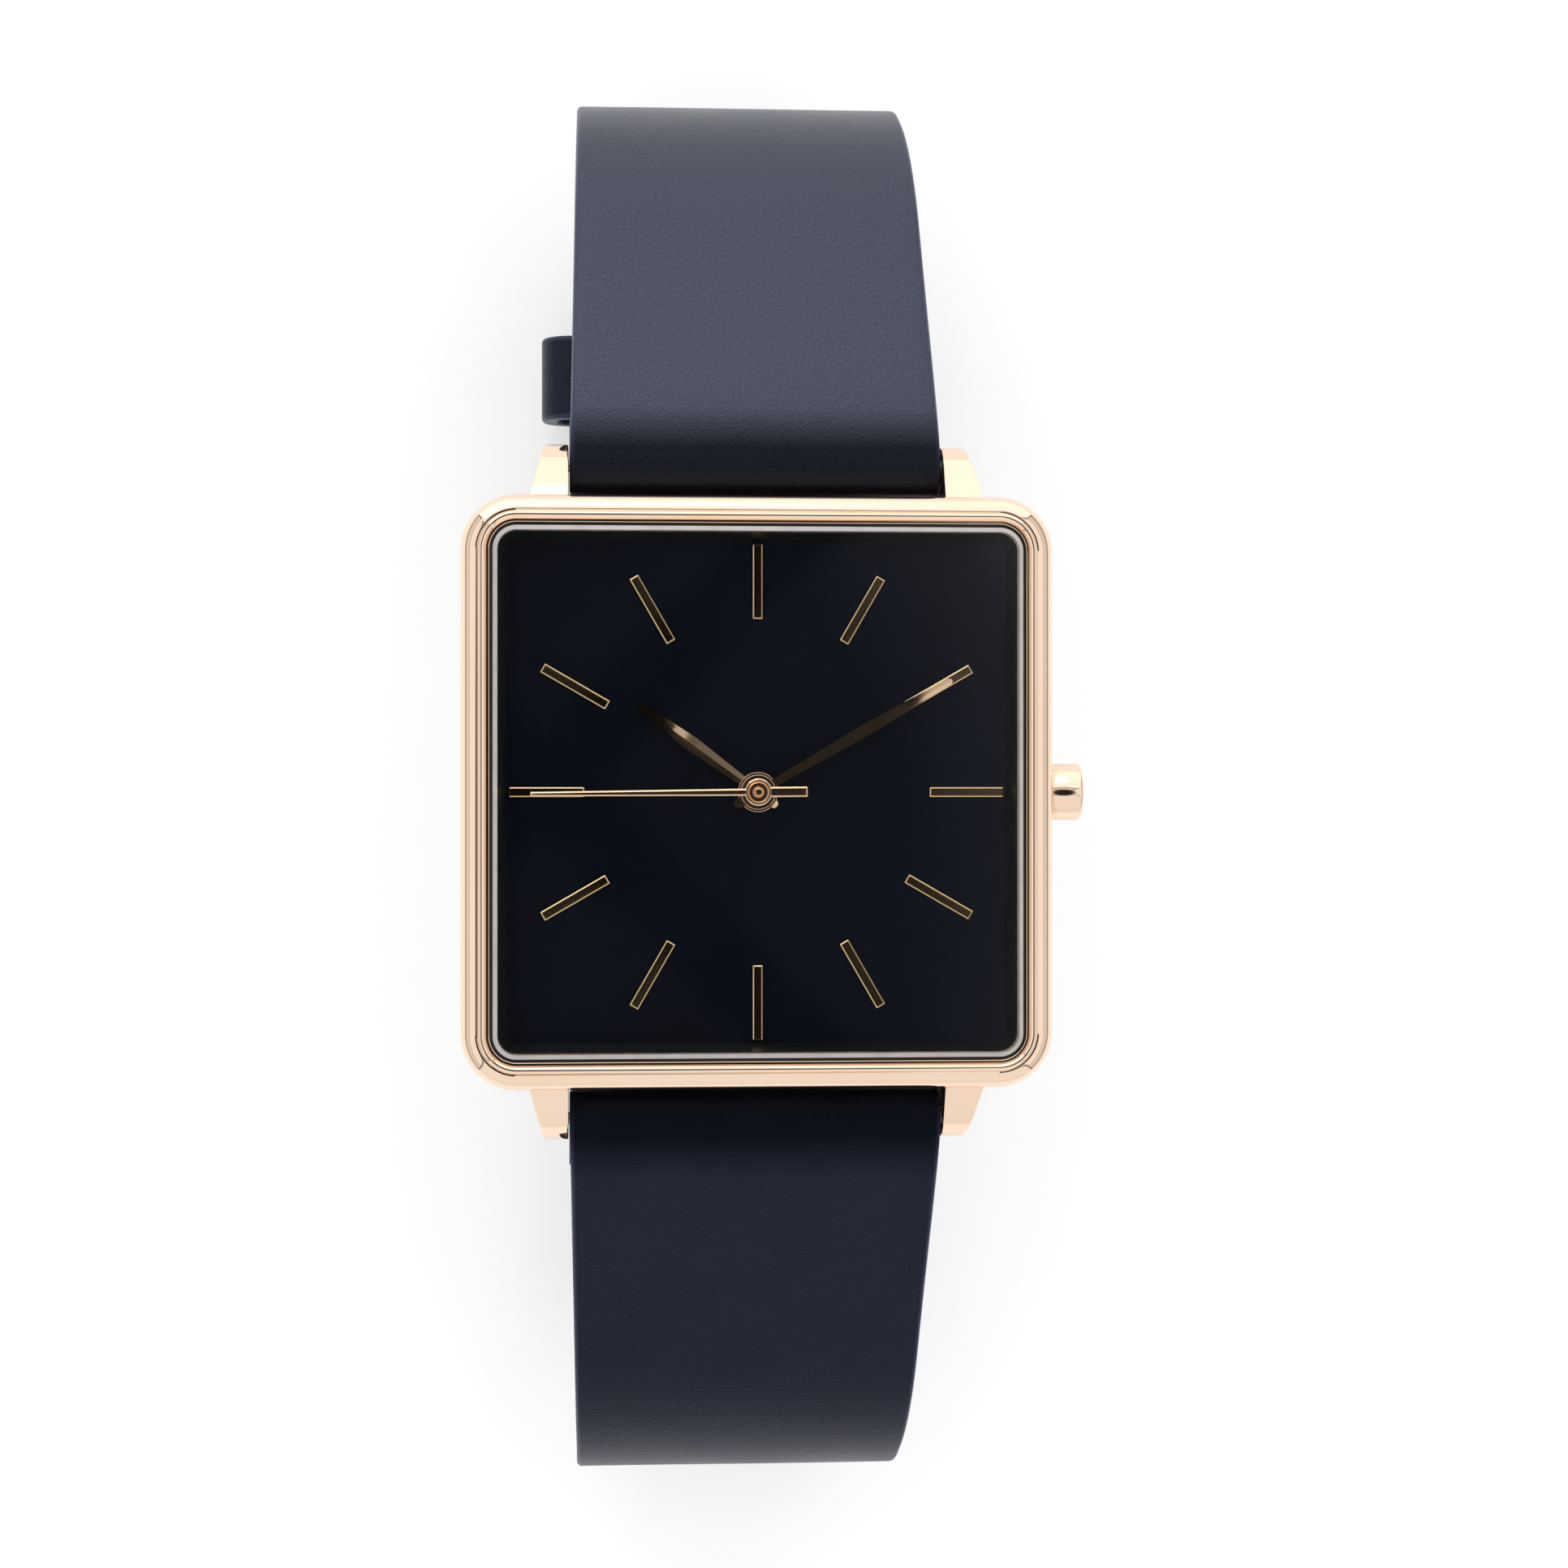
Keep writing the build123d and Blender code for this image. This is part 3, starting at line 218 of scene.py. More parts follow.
def plate(half_width, half_depth, corner, low, high, steps=24):
    """A plate: a square sheet with its corners rounded, drawn up to its thickness."""
    mesh = bmesh.new()
    scaled = Matrix.Translation((0, 0, low)) @ Matrix.Diagonal((half_width, half_depth, 1, 1))
    bmesh.ops.create_grid(mesh, x_segments=1, y_segments=1, size=1, matrix=scaled)
    ease(mesh, mesh.verts[:], corner, steps, "VERTICES")
    mesh.faces.ensure_lookup_table()
    under = mesh.faces[0]
    return mesh, under, draw_out(mesh, under, (0, 0, high - low))


def sink(mesh, face, *steps):
    """Works a face inwards by an inset and a depth at a time; a negative depth goes into the metal."""
    for inset, depth in steps:
        face.normal_update()
        bmesh.ops.inset_region(
            mesh, faces=[face], thickness=inset, depth=depth, use_even_offset=True, use_boundary=True
        )


def join_through(mesh, upper, under):
    """Opens a hole between two faces with outlines of the same count."""
    loops = list(upper.edges) + list(under.edges)
    bmesh.ops.delete(mesh, geom=[upper, under], context="FACES_ONLY")
    bmesh.ops.bridge_loops(mesh, edges=loops)


def ring(half, corner, low, high, *steps):
    """A ring that follows the case: a plate worked down by steps that end at its underside."""
    mesh, under, upper = plate(half, half, corner, low, high)
    sink(mesh, upper, *steps)
    sink(mesh, under, (sum(inset for inset, depth in steps), 0))
    bmesh.ops.delete(mesh, geom=[upper, under], context="FACES_ONLY")
    bmesh.ops.remove_doubles(mesh, verts=mesh.verts[:], dist=near)
    return mesh


def reach(point):
    """How far out a point lies, measured square to the sides of the case."""
    x, y = abs(point.x), abs(point.y)
    if x > corner_centre and y > corner_centre:
        return corner_centre + hypot(x - corner_centre, y - corner_centre)
    return max(x, y)


def edges_at(mesh, off):
    """The edges whose two ends are both where a measure of how far off they are is nearly nothing."""
    return [edge for edge in mesh.edges if all(abs(off(vert.co)) < near for vert in edge.verts)]


def rims(mesh, half_side, level):
    """The edges that run round the case at a level, where it is that wide."""
    return edges_at(mesh, lambda at: max(abs(at.z - level), abs(reach(at) - half_side)))


def keen(mesh, angle=60):
    """The edges where two faces meet at more than an angle in degrees."""
    return [edge for edge in mesh.edges if edge.calc_face_angle(0.0) > radians(angle)]


def turn(mesh, angle, axis="Z"):
    bmesh.ops.rotate(mesh, cent=(0, 0, 0), matrix=Matrix.Rotation(angle, 3, axis), verts=mesh.verts[:])


def block(mesh, low, high):
    """A block between two opposite corners."""
    low, high = Vector(low), Vector(high)
    shape = Matrix.Translation((low + high) / 2) @ Matrix.Diagonal((*(high - low), 1))
    return bmesh.ops.create_cube(mesh, size=1, matrix=shape)["verts"]


def spun(points, axis, centre, steps=96):
    """A turned solid: its half section, given as places along and off the axis, is spun right round."""
    mesh = bmesh.new()
    off = Vector((0, 0, 1)) if axis == "X" else Vector((1, 0, 0))
    line = Vector((1, 0, 0)) if axis == "X" else Vector((0, 0, 1))
    verts = [mesh.verts.new(Vector(centre) + line * place + off * radius) for place, radius in points]
    pairs = list(zip(verts, verts[1:])) if points[0][1] == 0 else list(zip(verts, verts[1:] + verts[:1]))
    section = verts + [mesh.edges.new(pair) for pair in pairs]
    round_it = {"cent": centre, "axis": line, "angle": 2 * pi, "steps": steps}
    bmesh.ops.spin(mesh, geom=section, use_merge=True, use_duplicate=False, **round_it)
    bmesh.ops.remove_doubles(mesh, verts=mesh.verts[:], dist=weld)
    bmesh.ops.recalc_face_normals(mesh, faces=mesh.faces[:])
    return mesh


def rod(first, last, radius, centre, steps=32, bore=0.0):
    """A round rod along X, or a tube where it has a bore."""
    return spun(((first, bore), (first, radius), (last, radius), (last, bore)), "X", centre, steps)


def to_object(mesh, name, sharp=32.0):
    """Closes the mesh, turns its faces outwards, marks its sharp edges and takes it to metres."""
    bmesh.ops.remove_doubles(mesh, verts=mesh.verts[:], dist=weld)
    bmesh.ops.recalc_face_normals(mesh, faces=mesh.faces[:])
    for face in mesh.faces:
        face.smooth = True
    for edge in mesh.edges:
        edge.smooth = edge.calc_face_angle(0.0) < radians(sharp)
    bmesh.ops.scale(mesh, vec=(MM, MM, MM), verts=mesh.verts[:])
    made = put(name, bpy.data.meshes.new(name))
    mesh.to_mesh(made.data)
    mesh.free()
    return made


def machine(piece, joined=(), cut=()):
    """Welds solids to a piece and cuts others out of it, for good."""
    for tool, operation in [(tool, "UNION") for tool in joined] + [(tool, "DIFFERENCE") for tool in cut]:
        step = piece.modifiers.new(tool.name, "BOOLEAN")
        step.object = tool
        step.operation = operation
        step.solver = "EXACT"
    bpy.context.view_layer.update()
    shaped = bpy.data.meshes.new_from_object(piece.evaluated_get(bpy.context.evaluated_depsgraph_get()))
    piece.modifiers.clear()
    mesh = bmesh.new()
    mesh.from_mesh(shaped)
    bmesh.ops.scale(mesh, vec=(1 / MM, 1 / MM, 1 / MM), verts=mesh.verts[:])
    name = piece.name
    for used in (*joined, *cut, piece):
        bpy.data.objects.remove(used)
    return to_object(mesh, name)


def fit(piece, body, material, slot, *nodes):
    """Gives a finished piece its material, its body and the nodes that it stands for."""
    piece.data.materials.append(material)
    even = piece.modifiers.new("even_shading", "WEIGHTED_NORMAL")
    even.keep_sharp = True
    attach(piece, body)
    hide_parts(*nodes)
    return piece


def new_group(name, inputs, outputs):
    """An empty shader group, with its sockets, and the nodes that stand for its two ends."""
    group = bpy.data.node_groups.new(name, "ShaderNodeTree")
    for label, value in inputs.items():
        socket = group.interface.new_socket(label, in_out="INPUT", socket_type="NodeSocketFloat")
        socket.default_value = value
    for label, kind in outputs.items():
        group.interface.new_socket(label, in_out="OUTPUT", socket_type="NodeSocket" + kind)
    return group, group.nodes.new("NodeGroupInput"), group.nodes.new("NodeGroupOutput")


def new_material(name, **values):
    material = bpy.data.materials.new(name)
    material.use_nodes = True
    shader = material.node_tree.nodes["Principled BSDF"]
    connect(material.node_tree, shader, **values)
    return material, material.node_tree, shader


def object_place(tree):
    return node(tree, "TexCoord").outputs["Object"]


def clouds(tree, place, scale, detail=2.0):
    return node(tree, "TexNoise", {"Vector": place, "Scale": scale, "Detail": detail}).outputs[0]


def spread(tree, value, low, high):
    return node(tree, "MapRange", {"Value": value, "To Min": low, "To Max": high}).outputs[0]


def two_tone(tree, value, first, second, stops=(0.3, 0.7)):
    return blend_colours(tree, ramp(tree, value, (stops[0], 0.0), (stops[1], 1.0)), first, second)


def dents(tree, strength, distance, height, **settings):
    inputs = {"Strength": strength, "Distance": distance, "Height": height}
    return node(tree, "Bump", inputs, **settings).outputs[0]


hairlines, hair_in, hair_out = new_group(
    "hairlines", {"Density": 0.5, "Depth": 0.2}, {"Mask": "Float", "Tone": "Float", "Normal": "Vector"}
)
hair_width = 9000.0
hair_sets = ((0.4, 0.2, 310.0), (-0.9, 1.0, 420.0), (1.5, -0.5, 260.0))
place = object_place(hairlines)
mask = 0.0
for yaw, tilt, pitch in hair_sets:
    laying = {"Vector": place, "Rotation": (tilt, 0.3, yaw), "Scale": (pitch, hair_width, hair_width)}
    streaks = clouds(hairlines, node(hairlines, "Mapping", laying).outputs[0], 1.0, 1.0)
    mask = figure(hairlines, "MAXIMUM", mask, ramp(hairlines, streaks, (0.66, 0.0), (0.74, 1.0)))
patches = ramp(hairlines, clouds(hairlines, place, 330.0), (0.45, 0.0), (0.7, 1.0))
mask = figure(hairlines, "MULTIPLY", mask, figure(hairlines, "MULTIPLY", patches, hair_in.outputs["Density"]))
normal = dents(hairlines, hair_in.outputs["Depth"], 0.000002, mask, invert=True)
connect(hairlines, hair_out, Mask=mask, Tone=clouds(hairlines, place, 120.0, 3.0), Normal=normal)


def polished(name, light, deep, gloss, density=0.05, depth=0.04):
    """Polished metal: a slow drift between two tones, and faint hairlines that are a little duller."""
    material, tree, shader = new_material(name, Metallic=1.0)
    marks = node(tree, "Group", {"Density": density, "Depth": depth}, node_tree=hairlines).outputs
    colour = two_tone(tree, marks["Tone"], light, deep)
    rough = spread(tree, marks["Mask"], gloss, gloss + 0.22)
    connect(tree, shader, Base_Color=colour, Roughness=rough, Normal=marks["Normal"])
    return material


rose_gold = polished(
    "rose_gold", (0.93, 0.72, 0.56), (0.905, 0.685, 0.52), gloss=0.045, density=0.5, depth=0.25
)

case_low, case_high = box("case_middle")
bezel_low, bezel_high = box("bezel")
glass_low, glass_high = box("crystal")
gasket_low, gasket_high = box("crystal_gasket")
dial_high = box("dial")[1]
back_low, back_high = box("case_back")
half_case = case_high.x
case_corner = 3.3
corner_centre = half_case - case_corner
case_wall = 1.85
recess_wall = 1.55
back_seat = 0.8
ring_tuck = 0.18
ring_inner = gasket_high.x - ring_tuck
glass_half = glass_high.x - ring_tuck
glass_bevel = 0.27
window_half = glass_half - glass_bevel
flange_width = 0.42
flange_clear = 0.03
flange_lip = 0.02
top_round = 1.0
foot_round = 0.3
shoulder_round = 0.05
wall_half = half_case - case_wall
shoulder = half_case - bezel_high.x
mesh, under, upper = plate(half_case, half_case, case_corner, case_low.z, case_high.z)
bezel_seat = bezel_low.z - case_high.z
gasket_seat = gasket_low.z - bezel_low.z
flange_foot = dial_high.z + flange_clear
sink(mesh, upper, (shoulder, 0), (0, bezel_seat), (bezel_high.x - ring_inner, 0), (0, gasket_seat))
sink(mesh, upper, (ring_inner - window_half, 0), (flange_width, flange_foot + flange_lip - gasket_low.z))
sink(mesh, under, (recess_wall, 0), (0, case_low.z - back_low.z - back_seat), (case_wall - recess_wall, 0))
sink(mesh, under, (0, back_seat - flange_foot), (wall_half - window_half + flange_width, 0))
join_through(mesh, upper, under)
ease(mesh, rims(mesh, half_case, case_high.z), top_round, steps=12)
ease(mesh, rims(mesh, half_case, case_low.z), foot_round, steps=5)
ease(mesh, rims(mesh, bezel_high.x, case_high.z), shoulder_round, steps=2)
case = to_object(mesh, "case")

lug_inner = 11.15
lug_root = 13.5
lug_tip = 12.6
lug_depth = 1.6
lug_rise = 0.1
lug_root_y = half_case - lug_depth
lug_foot = case_low.z + lug_rise
lug_tip_low = 0.55
lug_tip_high = 2.7
lug_knee = 4.3
lug_top = 5.3
lug_tip_round = 0.95
lug_edge_round = 0.1
bar_reach = 2.0
bar_y = half_case + bar_reach
bar_z = 2.0
pin_hole = 0.4
pin_hole_end = 11.95
lug_outline = (lug_root_y, lug_foot), (half_case, lug_foot), (case_high.y, lug_tip_low)
lug_outline += (case_high.y, lug_tip_high), (bar_y, lug_knee), (half_case, lug_top), (lug_root_y, lug_top)
lugs = []
for side in (-1, 1):
    for end in (-1, 1):
        mesh = bmesh.new()
        verts = [mesh.verts.new((lug_inner, y, z)) for y, z in lug_outline]
        outer = draw_out(mesh, mesh.faces.new(verts), (lug_root - lug_inner, 0, 0))
        for vert in outer.verts:
            along_lug = max(0.0, (vert.co.y - half_case) / (case_high.y - half_case))
            vert.co.x -= (lug_root - lug_tip) * along_lug
        tips = edges_at(mesh, lambda at: at.y - case_high.y)
        ease(mesh, [e for e in tips if abs(e.verts[0].co.z - e.verts[1].co.z) < near], lug_tip_round, steps=8)
        beyond = [e for e in keen(mesh, angle=40) if max(v.co.y for v in e.verts) > lug_root_y + near]
        ease(mesh, beyond, lug_edge_round, steps=3)
        bmesh.ops.scale(mesh, vec=(side, end, 1), verts=mesh.verts[:])
        lugs.append(to_object(mesh, f"lug_{side}_{end}"))
holes = []
for end in (-1, 1):
    hole = rod(-pin_hole_end, pin_hole_end, pin_hole, (0, end * bar_y, bar_z))
    holes.append(to_object(hole, f"pin_hole_{end}"))
tube_low, tube_high = box("crown_tube")
tube_clear = 0.01
tube_overrun = 1.0
stem_z = (tube_low.z + tube_high.z) / 2
tube_radius = (tube_high.z - tube_low.z) / 2 + tube_clear
hole = rod(wall_half - tube_overrun, half_case + tube_overrun, tube_radius, (0, 0, stem_z), steps=48)
holes.append(to_object(hole, "tube_hole"))
case = machine(case, lugs, holes)
fit(case, "watch_case", rose_gold, "rose_gold", "case_middle")

# The bezel ring is pressed into the shoulder and holds the glass. It is turned with a broad outer bead
# and a thin inner one, polished like the case.
bead = 0.41
groove = 0.05
groove_depth = 0.14
inner_bead_drop = 0.03
bead_outer_round = 0.17
bead_inner_round = 0.2
inner_bead_round = 0.06
inner_bead = bezel_high.x - ring_inner - bead - 2 * groove
beads = (bead, 0), (groove, -groove_depth), (groove, groove_depth - inner_bead_drop), (inner_bead, 0)
bore = (0, bezel_low.z - bezel_high.z + inner_bead_drop)
mesh = ring(bezel_high.x, bezel_high.x - corner_centre, bezel_low.z, bezel_high.z, *beads, bore)
ease(mesh, rims(mesh, bezel_high.x, bezel_high.z), bead_outer_round, steps=6)
ease(mesh, rims(mesh, bezel_high.x - bead, bezel_high.z), bead_inner_round, steps=6)
ease(mesh, rims(mesh, ring_inner, bezel_high.z - inner_bead_drop), inner_bead_round, steps=4)
fit(to_object(mesh, "bezel_ring"), "watch_case", rose_gold, "rose_gold", "bezel")

# The glass gasket is a thin dark ring of moulded rubber. It is pressed between the bezel ring and the glass,
# and keeps water out.
def moulded(name, low_tone, high_tone, roughness, scale, relief, **values):
    """Moulded rubber, plastic or resin: a faint cloud of tone over a fine bloom."""
    material, tree, shader = new_material(name, Roughness=roughness, **values)
    place = object_place(tree)
    colour = two_tone(tree, clouds(tree, place, scale, 4.0), low_tone, high_tone)
    normal = dents(tree, 0.4, relief, clouds(tree, place, scale * 14))
    connect(tree, shader, Base_Color=colour, Normal=normal)
    return material


rubber = moulded(
    "gasket_rubber", (0.012, 0.008, 0.007), (0.03, 0.019, 0.016), roughness=0.5, scale=500.0, relief=0.000006
)
gasket_round = 0.04
opened = (ring_inner - glass_half, 0), (0, gasket_low.z - gasket_high.z)
mesh = ring(ring_inner, ring_inner - corner_centre, gasket_low.z, gasket_high.z, *opened)
gasket_rims = rims(mesh, ring_inner, gasket_high.z) + rims(mesh, glass_half, gasket_high.z)
ease(mesh, gasket_rims, gasket_round, steps=2)
fit(to_object(mesh, "glass_gasket"), "watch_case", rubber, "gasket_rubber", "crystal_gasket")

# The glass is a flat plate of coated sapphire. It is cut with round corners and ground with a narrow bevel
# all round, which stays a little milky.
sapphire, tree, shader = new_material(
    "sapphire", Roughness=0.0, Transmission_Weight=1.0, Specular_IOR_Level=0.16, IOR=1.45
)
specks = ramp(tree, clouds(tree, object_place(tree), 2600.0, 0.0), (0.8, 0.0), (0.86, 0.05))
connect(tree, shader, Base_Color=blend_colours(tree, specks, (0.985, 0.992, 1.0), (0.9, 0.9, 0.9)))
ground_tones = (0.68, 0.65, 0.65), (0.8, 0.765, 0.765)
ground = moulded(
    "ground_bevel", *ground_tones, roughness=0.3, scale=900.0, relief=0.000003, Transmission_Weight=0.3
)
glass_foot = 0.05
bevel_slope_low = 0.3
bevel_slope_high = 0.95
mesh = plate(glass_half, glass_half, glass_half - corner_centre, glass_low.z, glass_high.z)[0]
ease(mesh, rims(mesh, glass_half, glass_high.z), glass_bevel, steps=1)
ease(mesh, rims(mesh, glass_half, glass_low.z), glass_foot, steps=1)
glass = fit(to_object(mesh, "glass", sharp=20.0), "watch_case", sapphire, "sapphire", "crystal")
glass.data.materials.append(ground)
for facet in glass.data.polygons:
    if bevel_slope_low < facet.normal.z < bevel_slope_high:
        facet.material_index = 1

# The case back is a stamped and turned steel plate that snaps into the case. Its flat is brushed in
# circles, with a shallow frame line round it, and its rim stands up inside the case.
brush_sweep = 0.0006
brush_level = 0.1
brush_stretch = 0.02


def brushed(name, light, deep, roughness, relief, along_axis=None, pitch=5200.0):
    """Brushed or turned metal: fine lines round the Z axis, or along an axis of the piece."""
    material, tree, shader = new_material(name, Metallic=1.0)
    place = object_place(tree)
    if along_axis is None:
        parts = node(tree, "SeparateXYZ", {0: place}).outputs
        squares = (figure(tree, "MULTIPLY", parts[axis], parts[axis]) for axis in ("X", "Y"))
        radius = figure(tree, "SQRT", figure(tree, "ADD", *squares))
        sweep = figure(tree, "MULTIPLY", figure(tree, "ARCTAN2", parts["Y"], parts["X"]), brush_sweep)
        level = figure(tree, "MULTIPLY", parts["Z"], brush_level)
        laid = node(tree, "CombineXYZ", {"X": radius, "Y": sweep, "Z": level})
    else:
        scale = tuple(brush_stretch if axis == along_axis else 1.0 for axis in "XYZ")
        laid = node(tree, "Mapping", {"Vector": place, "Scale": scale})
    lines = clouds(tree, laid.outputs[0], pitch, 3.0)
    rough = spread(tree, lines, roughness - 0.06, roughness + 0.08)
    normal = dents(tree, 0.5, relief, lines)
    connect(tree, shader, Base_Color=two_tone(tree, lines, light, deep), Roughness=rough, Normal=normal)
    return material


back_steel = brushed("back_steel", (0.78, 0.77, 0.76), (0.66, 0.65, 0.645), roughness=0.26, relief=0.000004)
rim_outer = 15.25
rim_inner = 14.65
frame_line_inset = 1.0
frame_line_width = 0.2
frame_line_depth = 0.06
frame_line_slope = 0.04
back_round = 0.24
rim_round = 0.08
mesh, under, upper = plate(back_high.x, back_high.x, back_high.x - corner_centre, back_low.z, back_seat)
sink(mesh, upper, (back_high.x - rim_outer, 0), (0, back_high.z - back_seat), (rim_outer - rim_inner, 0))
sink(mesh, upper, (0, back_seat - back_high.z))
sink(mesh, under, (frame_line_inset, 0), (frame_line_slope, -frame_line_depth), (frame_line_width, 0))
sink(mesh, under, (frame_line_slope, frame_line_depth))
ease(mesh, rims(mesh, back_high.x, back_low.z), back_round, steps=4)
ease(mesh, rims(mesh, rim_outer, back_high.z) + rims(mesh, rim_inner, back_high.z), rim_round, steps=2)
back = to_object(mesh, "back_plate", sharp=24.0)
channel_radius = 0.76
channel_start = 8.0
channel_end = 16.0
channel = rod(channel_start, channel_end, channel_radius, (0, 0, stem_z))
back = machine(back, (), [to_object(channel, "stem_channel")])
fit(back, "watch_case", back_steel, "back_steel", "case_back")

# The works keep their own shapes: a brass plate, bridge and wheels, steel arbors and levers, a copper coil
# on its core, a green board with its chip and crystal can, and a button cell, in a moulded holder.
def dress(material, *names):
    for name in names:
        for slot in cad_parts[name].material_slots:
            slot.material = material


brass = brushed(
    "brass", (0.83, 0.66, 0.34), (0.72, 0.55, 0.27), roughness=0.3, relief=0.000003, along_axis="Y",
    pitch=3000.0,
)
steel = brushed(
    "steel", (0.7, 0.7, 0.71), (0.56, 0.56, 0.58), roughness=0.28, relief=0.000003, along_axis="X",
    pitch=3600.0,
)
copper = brushed(
    "copper_winding", (0.8, 0.43, 0.24), (0.56, 0.25, 0.12), roughness=0.34, relief=0.000012, along_axis="Z",
    pitch=9000.0,
)
magnet = brushed(
    "magnet", (0.3, 0.3, 0.32), (0.2, 0.2, 0.22), roughness=0.42, relief=0.000004, along_axis="Y",
    pitch=4200.0,
)
battery_steel = polished(
    "battery_steel", (0.82, 0.82, 0.83), (0.74, 0.74, 0.75), gloss=0.16, density=0.9, depth=0.5
)
holder_white = moulded(
    "holder_plastic", (0.66, 0.65, 0.61), (0.74, 0.73, 0.69), roughness=0.45, scale=240.0, relief=0.00001
)
board_tones = (0.012, 0.075, 0.035), (0.02, 0.11, 0.05)
board_green = moulded(
    "board_resist", *board_tones, roughness=0.3, scale=620.0, relief=0.000004, Coat_Weight=0.4
)
chip_black = moulded(
    "chip_resin", (0.011, 0.011, 0.011), (0.022, 0.022, 0.021), roughness=0.42, scale=900.0, relief=0.000008
)
dress(brass, "main_plate", "train_bridge", "centre_wheel", "third_wheel", "fourth_wheel", "fifth_wheel")
dress(brass, "minute_wheel", "hour_wheel", "cannon_pinion", "dial_washer")
dress(steel, "setting_wheel", "setting_lever", "sliding_pinion", "stem", "movement_screws", "battery_clamp")
dress(steel, "coil_core", "stator", "crown_tube", "quartz_can")
dress(magnet, "rotor")
dress(copper, "coil_winding")
dress(battery_steel, "battery")
dress(holder_white, "movement_holder")
dress(board_green, "circuit_board")
dress(chip_black, "control_chip")
dress(rubber, "case_back_gasket", "crown_gasket")

# The dial is a thin brass plate under many coats of navy black lacquer, rubbed flat and polished. It keeps
# its own shape.
lacquer, tree, shader = new_material("dial_lacquer", Specular_IOR_Level=0.3, Specular_Tint=(0.66, 0.76, 1.0))
place = object_place(tree)
coats = clouds(tree, place, 140.0, 3.0)
tone = two_tone(tree, coats, (0.0048, 0.0066, 0.0125), (0.006, 0.0082, 0.0165))
fleck = ramp(tree, clouds(tree, place, 9000.0, 1.0), (0.66, 0.0), (0.8, 0.35))
colour = blend_colours(tree, fleck, tone, (0.012, 0.014, 0.02))
connect(tree, shader, Base_Color=colour, Roughness=spread(tree, coats, 0.13, 0.17))
dress(lacquer, "dial")

# The flange is a thin sloping frame of dark plated metal. It stands between the dial and the glass and
# covers the edge of the opening.
flange_metal = moulded(
    "flange_satin", (0.007, 0.0065, 0.007), (0.01, 0.009, 0.0095), roughness=0.4, scale=400.0, relief=0.000003
)
flange_play = 0.02
flange_top = 0.04
flange_thick = 0.06
flange_high = glass_low.z - flange_play
flange_half = window_half - flange_play
slope = (flange_width - flange_play, flange_foot + flange_thick - flange_high)
sloped = (flange_top, 0), slope, (0, -flange_thick)
mesh = ring(flange_half, window_half - corner_centre, flange_foot, flange_high, *sloped)
fit(to_object(mesh, "flange", sharp=30.0), "watch_case", flange_metal, "rose_gold")

# The hour markers are twelve bars of rose gold, cut with a bright bevel round a flat polished top, and
# riveted through the dial.
def gather(mesh, part):
    """Adds a part's mesh to another and lets the part go."""
    loose = bpy.data.meshes.new("loose")
    part.to_mesh(loose)
    part.free()
    mesh.from_mesh(loose)
    bpy.data.meshes.remove(loose)


marker_low, marker_high = box("hour_markers")
marker_gold = polished("marker_gold", (0.7, 0.5, 0.28), (0.62, 0.43, 0.22), gloss=0.04)
marker_count = 12
marker_length = 4.4
marker_half = 0.285
marker_start = marker_high.y - marker_length
marker_bevel = 0.068
marker_edge_bevel = 0.015
bevel_share = 0.4
markers = bmesh.new()
for hour in range(marker_count):
    bar = bmesh.new()
    block(bar, (-marker_half, marker_start, marker_low.z), (marker_half, marker_high.y, marker_high.z))
    ease(bar, edges_at(bar, lambda at: at.z - marker_high.z), marker_bevel, steps=1)
    for vert in bar.verts:
        if marker_low.z + near < vert.co.z < marker_high.z - near:
            vert.co.z = marker_high.z - marker_bevel * bevel_share
    uprights = [e for e in bar.edges if abs(e.verts[0].co.z - e.verts[1].co.z) > near]
    ease(bar, uprights, marker_edge_bevel, steps=1)
    turn(bar, -2 * pi * hour / marker_count)
    gather(markers, bar)
fit(to_object(markers, "markers", sharp=12.0), "watch_case", marker_gold, "rose_gold", "hour_markers")

# The hour and minute hands are pressed from brass, folded to a low ridge along the middle, polished and
# gold plated. Each is pushed on its pipe by the round hub.
hand_gold = polished("hand_gold", (0.8, 0.56, 0.36), (0.74, 0.5, 0.31), gloss=0.03)
hub_round = 0.05
hub_steps = 72


def between(table, at):
    """The value at a place, in a table of places and values."""
    for (low, first), (high, last) in zip(table, table[1:]):
        if at <= high:
            return first + (last - first) * max(0.0, at - low) / (high - low)
    return table[-1][1]


